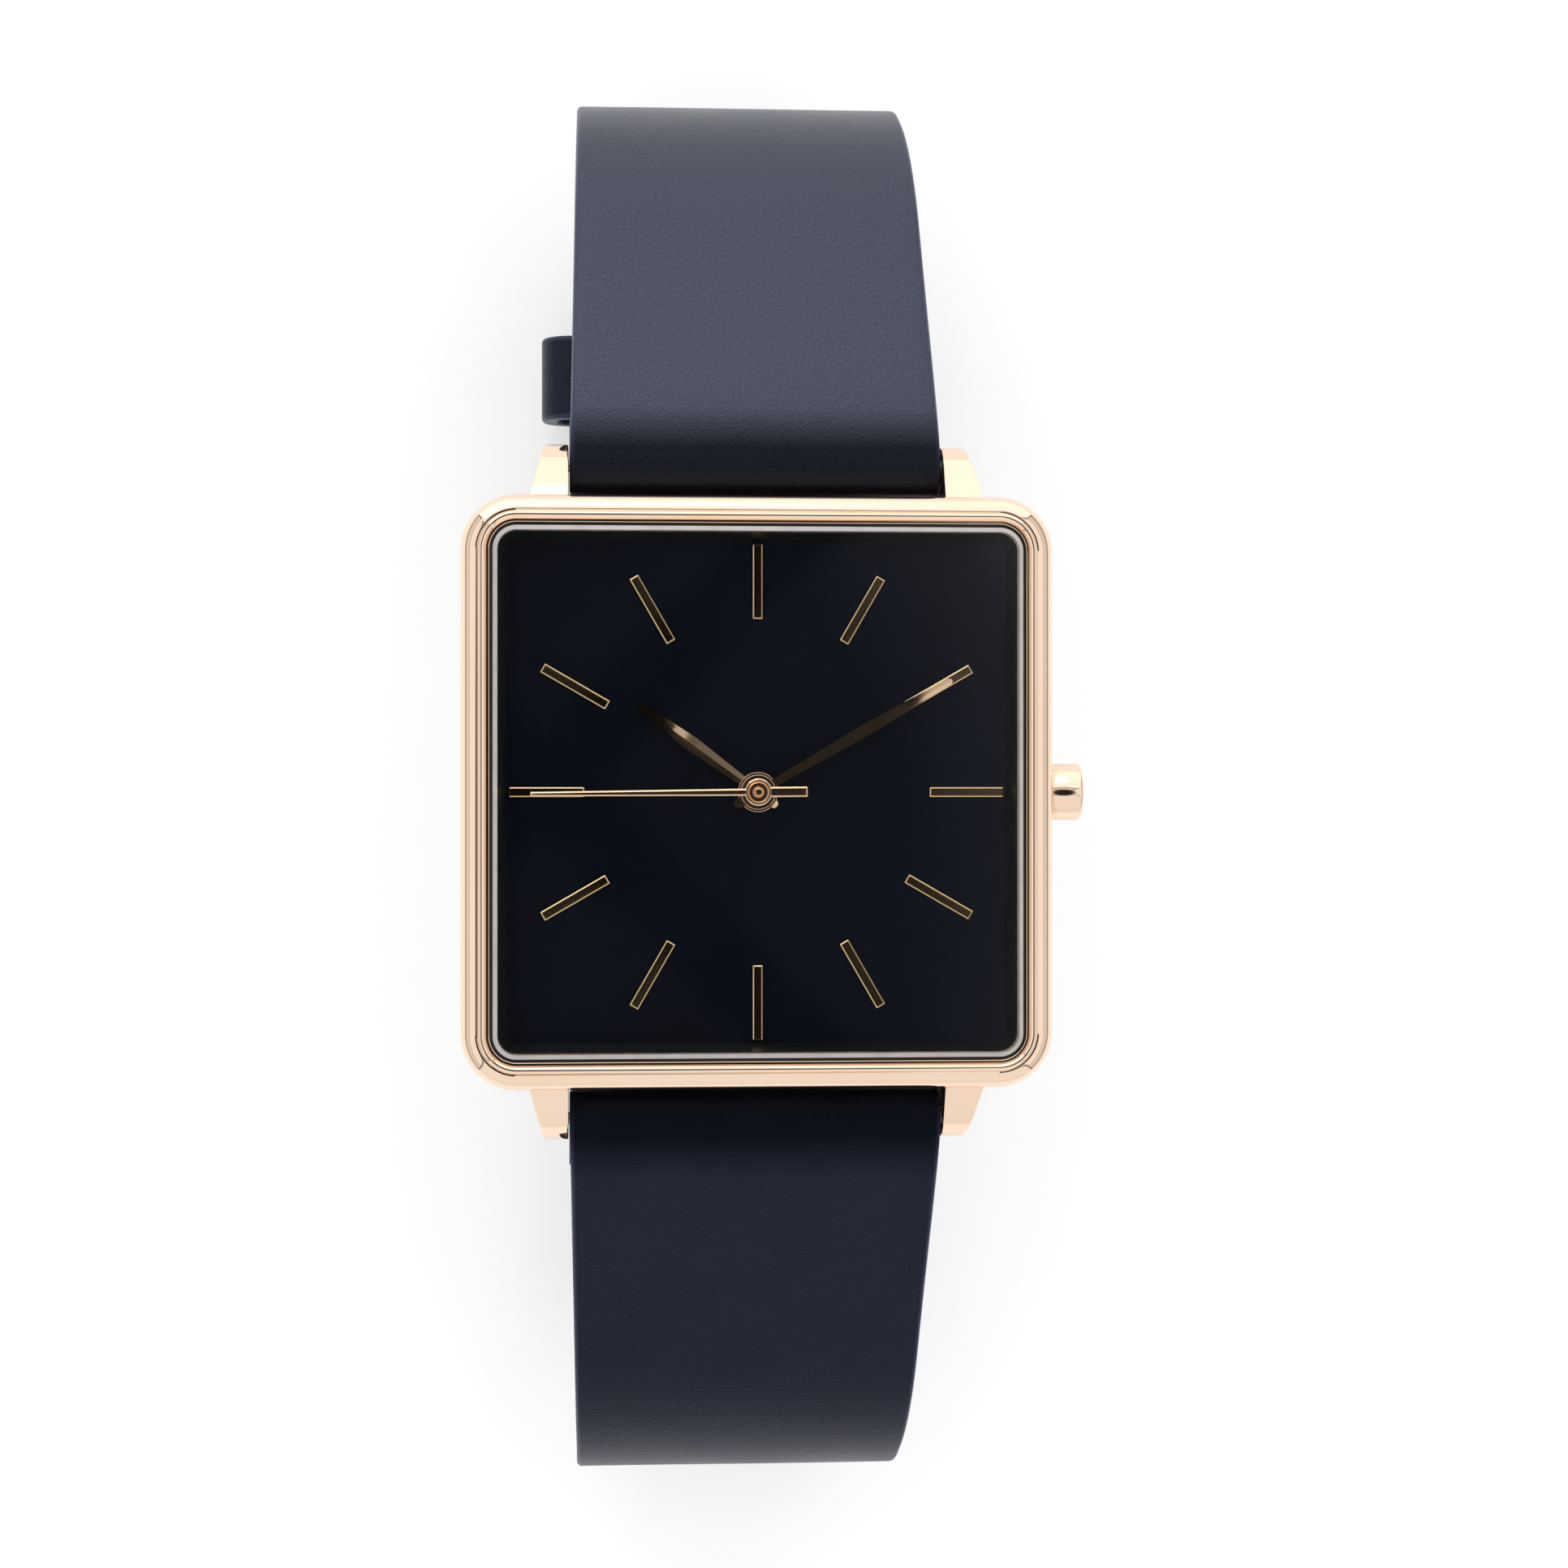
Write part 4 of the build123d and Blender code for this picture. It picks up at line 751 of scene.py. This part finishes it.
def folded_hand(
    name, node_name, body, angle, length, width, tail, tail_width, hub_radius, bore, ridge, spine
):
    """A hand with a ridge, which rises and falls along it by the shares in its spine."""
    low, high = box(node_name)
    edge_level = high.z - ridge
    start = hub_radius * 0.75
    tip = width * 0.275
    root = width * 0.31
    widest = length * 0.55
    stations = 20
    blade = (root, start), (width / 2, widest), (tip, length - tip), (tip * 0.6, length - tip * 0.25)
    stub = (tail_width / 2, -start), (tail_width / 2, -tail + tail_width * 0.3), (tail_width * 0.25, -tail)
    mesh = bmesh.new()
    for outline in ((*blade, (0, length)), (*stub, (0, -tail))):
        first = outline[0][1]
        right = [mesh.verts.new((x, y, low.z)) for x, y in outline]
        left = [mesh.verts.new((-x, y, low.z)) for x, y in reversed(outline[:-1])]
        face = mesh.faces.new(right + left + [mesh.verts.new((0, first, low.z))])
        face.normal_update()
        if face.normal.z < 0:
            face.normal_flip()
        upper = draw_out(mesh, face, (0, 0, edge_level - low.z))
        bmesh.ops.connect_verts(mesh, verts=[v for v in upper.verts if abs(v.co.x) < near])
        for station in range(1, stations):
            at = (0, length * station / stations, 0)
            up = [f for f in mesh.faces if f.normal.z > 0.9 and f.calc_center_median().z > edge_level - near]
            cut = up + list(dict.fromkeys(e for f in up for e in f.edges))
            bmesh.ops.bisect_plane(mesh, geom=cut, plane_co=at, plane_no=(0, 1, 0), dist=near)
        for vert in mesh.verts:
            if abs(vert.co.x) < near and abs(vert.co.z - edge_level) < near and vert.co.y * first > 0:
                vert.co.z += ridge * between(spine, abs(vert.co.y) / length)
        bmesh.ops.recalc_face_normals(mesh, faces=mesh.faces[:])
    hub_section = (low.z, bore), (low.z, hub_radius), (high.z, hub_radius), (high.z, bore)
    hub = spun(hub_section, "Z", (0, 0, 0), hub_steps)
    ease(hub, keen(hub), hub_round)
    gather(mesh, hub)
    turn(mesh, -radians(angle))
    fit(to_object(mesh, name, sharp=4.0), body, hand_gold, "rose_gold", node_name)


folded_hand(
    "hour_pointer", "hour_hand", "hour", angle=306.0, length=8.8, width=0.9, tail=1.4, tail_width=0.5,
    hub_radius=1.2, bore=0.76, ridge=0.05, spine=((0.0, 0.78), (0.66, 0.74), (0.8, 0.12), (1.0, 0.0)),
)
folded_hand(
    "minute_pointer", "minute_hand", "minute", angle=60.0, length=13.3, width=0.74, tail=1.6, tail_width=0.6,
    hub_radius=1.05, bore=0.46, ridge=0.03,
    spine=((0.0, 0.04), (0.6, 0.06), (0.76, 0.2), (0.86, 0.75), (1.0, 0.95)),
)

# The second hand is a thin straight bar with a bright bevel down each side, a short square counterweight
# and a dished hub with a small riveted boss.
second_low, second_high = box("second_hand")
second_thick = 0.14
second_top = second_low.z + second_thick
second_angle = 269.5
second_length = 13.4
second_half = 0.21
second_tip_half = 0.13
second_tail = 2.9
second_tail_half = 0.3
second_hub = 0.81
second_bevel = 0.09
inside_hub = second_hub * 0.8
mesh = bmesh.new()
for near_half, near_y, far_half, far_y in (
    (second_half, inside_hub, second_tip_half, second_length),
    (second_tail_half, -second_tail, second_tail_half, -inside_hub),
):
    corners = ((near_half, near_y), (far_half, far_y), (-far_half, far_y), (-near_half, near_y))
    face = mesh.faces.new([mesh.verts.new((x, y, second_low.z)) for x, y in corners])
    upper = draw_out(mesh, face, (0, 0, second_top - second_low.z))
    ease(mesh, upper.edges[:], second_bevel, steps=1)
    for vert in mesh.verts:
        if second_low.z + near < vert.co.z < second_top - near:
            vert.co.z = second_top - second_bevel * bevel_share
hub_edge = 0.05
rim_start = second_hub - 0.09
rim_end = second_hub - 0.17
dish_radius = second_hub - 0.27
dish_floor = second_top - 0.07
boss_foot = 0.34
boss_neck = 0.27
boss_radius = 0.24
boss_top = 0.18
boss_edge = 0.04
dish_section = (second_low.z, 0), (second_low.z, second_hub), (second_top - hub_edge, second_hub)
dish_section += (second_top, rim_start), (second_top, rim_end), (dish_floor, dish_radius)
dish_section += (dish_floor, boss_foot), (second_top, boss_neck), (second_high.z - boss_edge, boss_radius)
dish_section += (second_high.z, boss_top), (second_high.z, 0)
gather(mesh, spun(dish_section, "Z", (0, 0, 0), hub_steps))
turn(mesh, -radians(second_angle))
fit(to_object(mesh, "second_pointer", sharp=12.0), "second", hand_gold, "rose_gold", "second_hand")

# The crown is a plain drum of rose gold plated steel, turned and polished, with a deep recess that slides
# over its tube.
def turned_rim(mesh, place, radius):
    """The edges of the crown's mesh that lie at a place along its axis and at a radius from it."""
    return edges_at(mesh, lambda at: max(abs(at.x - place), abs(hypot(at.y, at.z - crown_z) - radius)))


crown_low, crown_high = box("crown")
crown_radius = (crown_high.z - crown_low.z) / 2
crown_z = (crown_high.z + crown_low.z) / 2
crown_recess = 1.02
crown_recess_depth = 1.13
crown_recess_end = crown_low.x + crown_recess_depth
crown_face_round = 0.24
crown_back_round = 0.16
recess_round = 0.08
crown_section = (crown_recess_end, 0), (crown_recess_end, crown_recess), (crown_low.x, crown_recess)
crown_section += (crown_low.x, crown_radius), (crown_high.x, crown_radius), (crown_high.x, 0)
mesh = spun(crown_section, "X", (0, 0, crown_z), steps=128)
ease(mesh, turned_rim(mesh, crown_high.x, crown_radius), crown_face_round, steps=7)
ease(mesh, turned_rim(mesh, crown_low.x, crown_radius), crown_back_round, steps=2)
ease(mesh, turned_rim(mesh, crown_low.x, crown_recess), recess_round, steps=2)
fit(to_object(mesh, "crown_drum"), "crown_stem", rose_gold, "rose_gold", "crown")

# The spring bars are steel tubes with a spring inside and a sprung pin at each end. They keep their own
# shapes, inside the rolls of the strap.
dress(steel, "spring_bar_tubes", "spring_bar_springs", "buckle_bar")
for end in ("12", "6"):
    dress(steel, f"spring_pin_{end}_right", f"spring_pin_{end}_left")

# The strap is calf leather, dyed navy and finished smooth, over a lining of soft leather. Each half is
# cut flat with pared and painted edges, folded round its spring bar and glued to its lining. It has taken
# the curve of the loop that it is kept in.
grain, grain_in, grain_out = new_group(
    "leather_grain", {"Cell": 0.34, "Crease": 0.3}, {"Height": "Float", "Tone": "Float", "Wear": "Float"}
)
flat = node(grain, "UVMap").outputs[0]
wander = node(grain, "TexNoise", {"Vector": flat, "Scale": 1.9, "Detail": 2.0}).outputs["Color"]
drift = node(grain, "VectorMath", {0: wander, "Scale": 0.22}, operation="SCALE").outputs[0]
shifted = node(grain, "VectorMath", {0: flat, 1: drift}).outputs[0]
cell_scale = figure(grain, "DIVIDE", 1.0, grain_in.outputs["Cell"])
cells = node(grain, "TexVoronoi", {"Vector": shifted, "Scale": cell_scale}, feature="DISTANCE_TO_EDGE")
pebble = ramp(grain, cells.outputs["Distance"], (0.0, 0.0), (0.2, 0.7), (0.5, 1.0))
pores = clouds(grain, flat, 5.0, 3.0)
creases = figure(grain, "MULTIPLY", clouds(grain, flat, 0.55, 4.0), grain_in.outputs["Crease"])
height = figure(grain, "ADD", figure(grain, "MULTIPLY", pebble, 0.55), figure(grain, "MULTIPLY", pores, 0.5))
height = figure(grain, "ADD", height, creases)
connect(grain, grain_out, Height=height, Tone=clouds(grain, flat, 0.22, 3.0), Wear=pores)

strap_half_width = 11.0
navy_tones = (0.0036, 0.0056, 0.0145), (0.0056, 0.0082, 0.021)
navy_look = {"Specular_Tint": (0.72, 0.755, 1.0), "Sheen_Weight": 0.02, "Sheen_Roughness": 0.4}
edge_paint = (0.035, 0.04, 0.075)
paint_inner = 0.28
paint_outer = 0.1
# Painted shade for the fold of the strap round the spring bar, and the run of the sheet it covers.
painted_fold_shade = (0.002, 0.002, 0.002)
fold_shade_length = 14.0


def leather(
    name, tones, edge, roughness, gloss, half_width=strap_half_width, folded=None,
    relief=0.00004, cell=0.27, crease=0.2, **values,
):
    """Dyed leather: grain along the cut sheet, cloudy dye, a painted edge, and painted shade with less sheen
    on the fold round the spring bar.
    """
    material, tree, shader = new_material(name, **values)
    marks = node(tree, "Group", {"Cell": cell, "Crease": crease}, node_tree=grain).outputs
    colour = two_tone(tree, marks["Tone"], *tones, stops=(0.32, 0.68))
    worn = ramp(tree, marks["Wear"], (0.62, 0.0), (0.8, 0.3))
    colour = blend_colours(tree, worn, colour, tuple(1.6 * part for part in tones[1]))
    sheet = node(tree, "SeparateXYZ", {0: node(tree, "UVMap").outputs[0]}).outputs
    paint = {"Value": figure(tree, "ABSOLUTE", sheet["X"])}
    paint |= {"From Min": half_width - paint_inner, "From Max": half_width - paint_outer}
    colour = blend_colours(tree, node(tree, "MapRange", paint).outputs[0], colour, edge)
    shine = ramp(tree, marks["Wear"], (0.35, 0.9 * gloss), (0.65, 1.08 * gloss))
    # Painted shade: over the fold round the spring bar the colour is darkened and the sheen is cut down.
    if folded is not None:
        along = figure(tree, "DIVIDE", sheet["Y"], folded)
        colour = blend_colours(tree, ramp(tree, along, (0.68, 0.6), (0.86, 0.0)), colour, painted_fold_shade)
        shine = figure(tree, "MULTIPLY", shine, ramp(tree, along, (0.68, 0.22), (0.86, 1.0)))
    rough = spread(tree, marks["Tone"], roughness - 0.05, roughness + 0.06)
    normal = dents(tree, 0.6, relief, marks["Height"])
    connect(tree, shader, Base_Color=colour, Roughness=rough, Normal=normal, Specular_IOR_Level=shine)
    return material


# Two copies of one leather that differ only in sheen. The buckle half's copy has its specular level raised, a
# painted sheen that makes it read lit. The tail half's copy keeps it low, so it reads shaded.
navy = leather(
    "navy_leather", navy_tones, edge_paint, roughness=0.34, gloss=0.92, folded=fold_shade_length, **navy_look
)
navy_shaded_copy = leather(
    "navy_leather_shaded_copy", navy_tones, edge_paint, roughness=0.36, gloss=0.24, folded=fold_shade_length, **navy_look
)
nubuck = leather(
    "lining_leather", ((0.03, 0.027, 0.029), (0.045, 0.04, 0.042)), (0.03, 0.03, 0.04), roughness=0.72,
    gloss=0.3, relief=0.00002, cell=0.2, crease=0.15, Sheen_Weight=0.25, Sheen_Roughness=0.5,
)
root_half_width = 11.08
bend_half_width = 10.2
end_half_width = 10.0
lean = 0.35
leather_thick = 1.45
lining_thick = 0.95
fold_thick = 0.85
total_thick = leather_thick + lining_thick
bar_roll = 1.78
buckle_roll = 1.65
hump = 0.5
hump_place = 3.6
lap = 3.2
flap = 3.0
buckle_flap = 1.7
roll_ease = 3.2
slot_half = 1.3
step = 0.25
ripple = 0.06
ripple_across = 0.07
ripple_along = 0.09
ripple_shift = 3.7
smooth_rounds = 6


def turn_about(centre, radius, start, finish):
    """Places along an arc about a centre in the plane of Y and Z, with angles from +Y towards +Z."""
    count = max(2, round(abs(finish - start) * radius / step))
    angles = (start + (finish - start) * at / count for at in range(count + 1))
    return [Vector((centre[0] + radius * cos(angle), centre[1] + radius * sin(angle))) for angle in angles]


def straight(first, last):
    count = max(1, round((last - first).length / step))
    return [first.lerp(last, at / count) for at in range(1, count)]


def smoothed(places, rounds):
    for _ in range(rounds):
        middle = [(a + 2 * b + c) / 4 for a, b, c in zip(places, places[1:], places[2:])]
        places = [places[0], *middle, places[-1]]
    return places


def tangent_angle(first, second, rise):
    """The direction, from both centres, in which a line touches circles whose radii differ by the rise."""
    across, down = second[0] - first[0], second[1] - first[1]
    return atan2(down, across) + acos(rise / hypot(across, down))


def touch_angle(centre, radius, place):
    """The direction from a centre in which a line from a place touches a circle."""
    away = place - Vector(centre)
    return atan2(away.y, away.x) - acos(radius / away.length)


def strap_line(bend, radius, last, end_bar=None):
    """The outer line of a half: its glued end, round the spring bar, over the bend, along the bottom."""
    pivot = Vector((bar_y, bar_z))
    over = tangent_angle(pivot, bend, bar_roll - radius)
    outward = Vector((cos(over), sin(over)))
    rise = hump * lap / hump_place * exp(1 - lap / hump_place)
    glued = pivot + outward * (bar_roll + rise - total_thick) + Vector((sin(over), -cos(over))) * lap
    wrap = turn_about(pivot, bar_roll, touch_angle(pivot, bar_roll, glued), over - 2 * pi)
    places = [glued, *straight(glued, wrap[0]), *wrap]
    wrapped = len(places)
    around = turn_about(bend, radius, over, -pi / 2)
    places += [places[-1]] + straight(places[-1], around[0]) + around
    for index in range(wrapped, len(places)):
        gone = (places[index] - places[wrapped]).length / hump_place
        places[index] = places[index] + outward * hump * gone * exp(1 - gone)
    bottom = Vector((last, bend[1] - radius))
    places += straight(places[-1], bottom) + [bottom]
    if end_bar is not None:
        rolled = turn_about(end_bar, buckle_roll, touch_angle(end_bar, buckle_roll, bottom), -1.5 * pi)
        end = rolled[-1] + Vector((buckle_flap, 0.0))
        places += straight(bottom, rolled[0]) + rolled + straight(rolled[-1], end) + [end]
    return smoothed(places, smooth_rounds), wrapped


def run_of(places):
    """How far along a line each of its places is."""
    return [0.0, *accumulate((last - first).length for first, last in zip(places, places[1:]))]


def lay(mesh, places, end, start_at, depth, thicknesses, widths, leans):
    """Bends a flat cut sheet to a line; its outer face follows the line at a depth under it."""
    lengths = run_of(places)
    index = 0
    for vert in sorted(mesh.verts, key=lambda v: v.co.y):
        flat_x, flat_y, flat_z = vert.co
        at = min(max(flat_y + start_at, 0.0), lengths[-1] - weld)
        while lengths[index + 1] < at:
            index += 1
        part = (at - lengths[index]) / (lengths[index + 1] - lengths[index])
        here = places[index].lerp(places[index + 1], part)
        ahead = (places[min(index + 2, len(places) - 1)] - places[max(index - 1, 0)]).normalized()
        inward = Vector((ahead.y, -ahead.x))
        wave = noise.noise(Vector((flat_x * ripple_across, at * ripple_along, end * ripple_shift))) * ripple
        here = here + inward * (depth + flat_z * between(thicknesses, at) + wave)
        beside = flat_x / strap_half_width * between(widths, at) - between(leans, at)
        vert.co = Vector((beside, end * here.x, here.y))


column_gap = 0.6
edge_zone = 1.0
row_gap = 0.55
fine_row_gap = 0.25
curved_zone = 12.0
pare_shares = (0.0, 0.1, 0.3, 0.6)


def cuts(length, pare, coarse, fine, zone):
    """Places along a length: closest at its pared ends, fine over a zone next to them, coarse between."""
    places = [pare * share for share in pare_shares]
    runs = (pare, zone, fine), (zone, length - zone, coarse), (length - zone, length - pare, fine)
    for start, stop, gap in runs:
        count = max(1, round((stop - start) / gap))
        places += [start + (stop - start) * at / count for at in range(count)]
    return places + [length - pare * share for share in (1.0, *reversed(pare_shares))]


def cut_sheet(length, pare, holes=(), tip=None, inset=0.0, slot_start=None):
    """A flat strip of leather 0 to 1 thick, with its tip cut, its holes punched and its edges pared round."""
    sheet = bmesh.new()
    half = strap_half_width - inset
    columns = cuts(2 * half, pare, column_gap, column_gap, edge_zone)
    rows = cuts(length, pare, row_gap, fine_row_gap, curved_zone)
    tip_length, tip_flat = tip or (pare, 2 * half)
    tip_cut = half - tip_flat / 2
    slant = hypot(tip_length, tip_cut) / tip_length
    bmesh.ops.create_grid(sheet, x_segments=len(columns) - 1, y_segments=len(rows) - 1, size=0.5)
    from_edge = sheet.verts.layers.float.new("from_edge")
    for vert in sheet.verts:
        across = columns[round((vert.co.x + 0.5) * (len(columns) - 1))] - half
        along = rows[round((vert.co.y + 0.5) * (len(rows) - 1))]
        into_tip = max(0.0, along - length + tip_length) / tip_length
        reach_here = half - tip_cut * into_tip
        pared = pare * (slant if into_tip > 0 else 1.0)
        gap = half - abs(across)
        if gap <= pare:
            beside = reach_here - gap * pared / pare
        else:
            beside = (reach_here - pared) * (half - gap) / (half - pare)
        vert.co = Vector((beside if across > 0 else -beside, along, 0))
        vert[from_edge] = min(gap, along, length - along)
    for at, radius in holes:
        middle = Vector((0, at, 0))
        waste = [f for f in sheet.faces if (f.calc_center_median() - middle).length < radius]
        rim = {v for f in waste for v in f.verts if any(other not in waste for other in v.link_faces)}
        bmesh.ops.delete(sheet, geom=waste, context="FACES")
        for vert in rim:
            vert.co = middle + (vert.co - middle).normalized() * radius
    if slot_start is not None:
        middle_strip = [f for f in sheet.faces if abs(f.calc_center_median().x) < slot_half]
        slot = [f for f in middle_strip if f.calc_center_median().y > slot_start]
        bmesh.ops.delete(sheet, geom=slot, context="FACES")
    drawn = bmesh.ops.extrude_face_region(sheet, geom=sheet.faces[:])["geom"]
    bmesh.ops.translate(sheet, vec=(0, 0, 1), verts=[i for i in drawn if isinstance(i, bmesh.types.BMVert)])
    for vert in sheet.verts:
        cut_in = 1 - min(vert[from_edge], pare) / pare
        rounded = pare / leather_thick * (1 - (1 - cut_in * cut_in) ** 0.5)
        vert.co.z += rounded if vert.co.z < 0.5 else -rounded
    return sheet


def chart(mesh, flat_place):
    """Gives every corner of a piece its place on the flat sheet, which the leather's grain follows."""
    layer = mesh.loops.layers.uv.new("sheet")
    for face in mesh.faces:
        for loop in face.loops:
            loop[layer].uv = flat_place(loop.vert.co)


leather_pare = 0.34
lining_pare = 0.15
lining_inset = 0.1
lining_gap = 0.01
lining_from_bar = 3.3
thin_run = 3.4
roll_run = 2.4
hole_radius = 0.9
hole_pitch = 6.0
hole_from_tip = 18.0


def strap_half(side, material, end, laid, to_bend, lining_short, roll=None, slot=None, holes=0, tip=None):
    """One half: its outer leather, thinned where it folds, and the lining inside it."""
    line, wrapped = laid
    whole = run_of(line)[-1]
    at_bar = run_of(line)[wrapped - 1]
    thick = ((0.0, lining_thick), (flap, fold_thick), (at_bar, fold_thick))
    thick += ((at_bar + thin_run, leather_thick),)
    if roll is not None:
        thick += ((whole - roll, leather_thick), (whole - roll + roll_run, fold_thick), (whole, fold_thick))
    widths = ((0.0, root_half_width), (at_bar, root_half_width))
    widths += ((at_bar + to_bend, bend_half_width), (whole, end_half_width))
    leans = ((0.0, 0.0), (at_bar, 0.0), (at_bar + to_bend, lean), (whole, 0.0))
    punched = [(whole - hole_from_tip - hole_pitch * hole, hole_radius) for hole in range(holes)]

    def finish(sheet, name, node_name, start, depth, thick, *finishes):
        chart(sheet, lambda at: (at.x, at.y))
        lay(sheet, line, end, start, depth, thick, widths, leans)
        fit(to_object(sheet, name, sharp=50.0), f"{side}_strap", *finishes, node_name)

    outer = cut_sheet(whole, leather_pare, punched, tip, slot_start=None if slot is None else whole - slot)
    finish(outer, f"strap_{side}_side", f"strap_{side}_half", 0.0, 0.0, thick, material, "navy_leather")
    start = at_bar + lining_from_bar
    punched = [(at - start, radius) for at, radius in punched]
    inner = cut_sheet(whole - lining_short - start, lining_pare, punched, tip, lining_inset)
    under = (start, leather_thick + lining_gap, ((0.0, lining_thick),))
    finish(inner, f"lining_{side}_side", f"strap_{side}_half_lining", *under, nubuck, "lining_leather")


half_high = box("strap_buckle_half")[1]
tail_low, tail_high = box("strap_tail_half")
bar_low, bar_high = box("buckle_bar")
buckle_bar = ((bar_low.y + bar_high.y) / 2, (bar_low.z + bar_high.z) / 2)
half_bottom = buckle_bar[1] - total_thick / 2
buckle_bend_radius = 12.6
tail_bend_radius = 13.2
buckle_bend = (half_high.y - buckle_bend_radius, half_bottom + buckle_bend_radius)
tail_bend = (-tail_low.y - tail_bend_radius, tail_low.z + tail_bend_radius)
# The buckle half takes the leather copy with the painted sheen, and the tail half takes the shaded copy.
laid = strap_line(buckle_bend, buckle_bend_radius, buckle_bar[0] + roll_ease, buckle_bar)
strap_half("buckle", navy, 1, laid, to_bend=26.0, lining_short=10.4, roll=9.0, slot=9.7)
laid = strap_line(tail_bend, tail_bend_radius, -tail_high.y)
strap_half("tail", navy_shaded_copy, -1, laid, to_bend=25.0, lining_short=0.1, holes=6, tip=(7.0, 5.0))

# The keepers are narrow bands of the same leather, closed into loops round the strap. The free one slides
# and the fixed one is sewn down by a tab inside.
keeper_wall = 1.15
keeper_corner = 2.15
keeper_round = 0.3
paint_from = 2.7
keeper_leather = leather(
    "keeper_leather", navy_tones, edge_paint, roughness=0.36, gloss=0.3, half_width=paint_from, **navy_look
)
tab_thick = 0.35
tab_half = 4.0
tab_level = half_bottom + total_thick
tab_round = 0.08


def band(name, node_name, body, tab=False):
    low, high = box(node_name)
    middle = (low + high) / 2
    size = high - low
    mesh, under, upper = plate(size.x / 2, size.z / 2, keeper_corner, -size.y / 2, size.y / 2, steps=10)
    sink(mesh, upper, (keeper_wall, 0))
    sink(mesh, under, (keeper_wall, 0))
    join_through(mesh, upper, under)
    ease(mesh, keen(mesh), keeper_round, steps=4)
    turn(mesh, pi / 2, "X")
    bmesh.ops.translate(mesh, vec=middle, verts=mesh.verts[:])
    if tab:
        verts = block(mesh, (-tab_half, low.y, tab_level), (tab_half, high.y, tab_level + tab_thick))
        ease(mesh, list(dict.fromkeys(e for v in verts for e in v.link_edges)), tab_round, steps=2)
    chart(mesh, lambda at: (at.y - middle.y, at.x + at.z))
    fit(to_object(mesh, name, sharp=50.0), body, keeper_leather, "navy_leather", node_name)


band("keeper_free", "free_keeper", "keeper")
band("keeper_fixed", "fixed_keeper", "buckle_strap", tab=True)

# The buckle is rose gold plated steel: two arms and a round cross piece, brazed and polished as one, with
# a tongue whose eye turns on the bar.
frame_low, frame_high = box("buckle_frame")
arm_width = 1.9
arm_round = 0.45
cross_radius = 1.1
cross_round = 0.3
bar_bore = 0.46
bore_overrun = 0.02
cross_y = frame_low.y + cross_radius
half_frame = frame_high.x
cross = rod(-half_frame, half_frame, cross_radius, (0, cross_y, buckle_bar[1]), steps=48)
ease(cross, keen(cross), cross_round, steps=4)
cross = to_object(cross, "buckle_cross")
arms = []
for side in (-1, 1):
    arm = bmesh.new()
    left, right = sorted((side * half_frame, side * (half_frame - arm_width)))
    block(arm, (left, cross_y, frame_low.z), (right, frame_high.y, frame_high.z))
    ease(arm, arm.edges[:], arm_round, steps=5)
    arms.append(to_object(arm, f"arm_{side}"))
pin_reach = bar_high.x + bore_overrun
bore = to_object(rod(-pin_reach, pin_reach, bar_bore, (0, *buckle_bar)), "buckle_bore")
fit(machine(cross, arms, [bore]), "buckle", rose_gold, "rose_gold", "buckle_frame")

tongue_low, tongue_high = box("buckle_tongue")
tongue_half = tongue_high.x
eye_radius = tongue_high.z - buckle_bar[1]
eye_bore = 0.8
eye_round = 0.12
shank_thick = 1.0
shank_gap = 0.3
shank_tip_round = 0.42
shank_round = 0.15
shank_end = buckle_bar[0] - eye_bore - shank_gap
eye = rod(-tongue_half, tongue_half, eye_radius, (0, *buckle_bar), steps=48, bore=eye_bore)
ease(eye, keen(eye), eye_round)
eye = to_object(eye, "tongue_eye")
shank = bmesh.new()
block(shank, (-tongue_half, tongue_low.y, tongue_low.z), (tongue_half, shank_end, tongue_low.z + shank_thick))
ease(shank, edges_at(shank, lambda at: at.y - tongue_low.y), shank_tip_round, steps=5)
ease(shank, keen(shank), shank_round)
tongue = machine(eye, [to_object(shank, "tongue_shank")])
fit(tongue, "tongue", rose_gold, "rose_gold", "buckle_tongue")
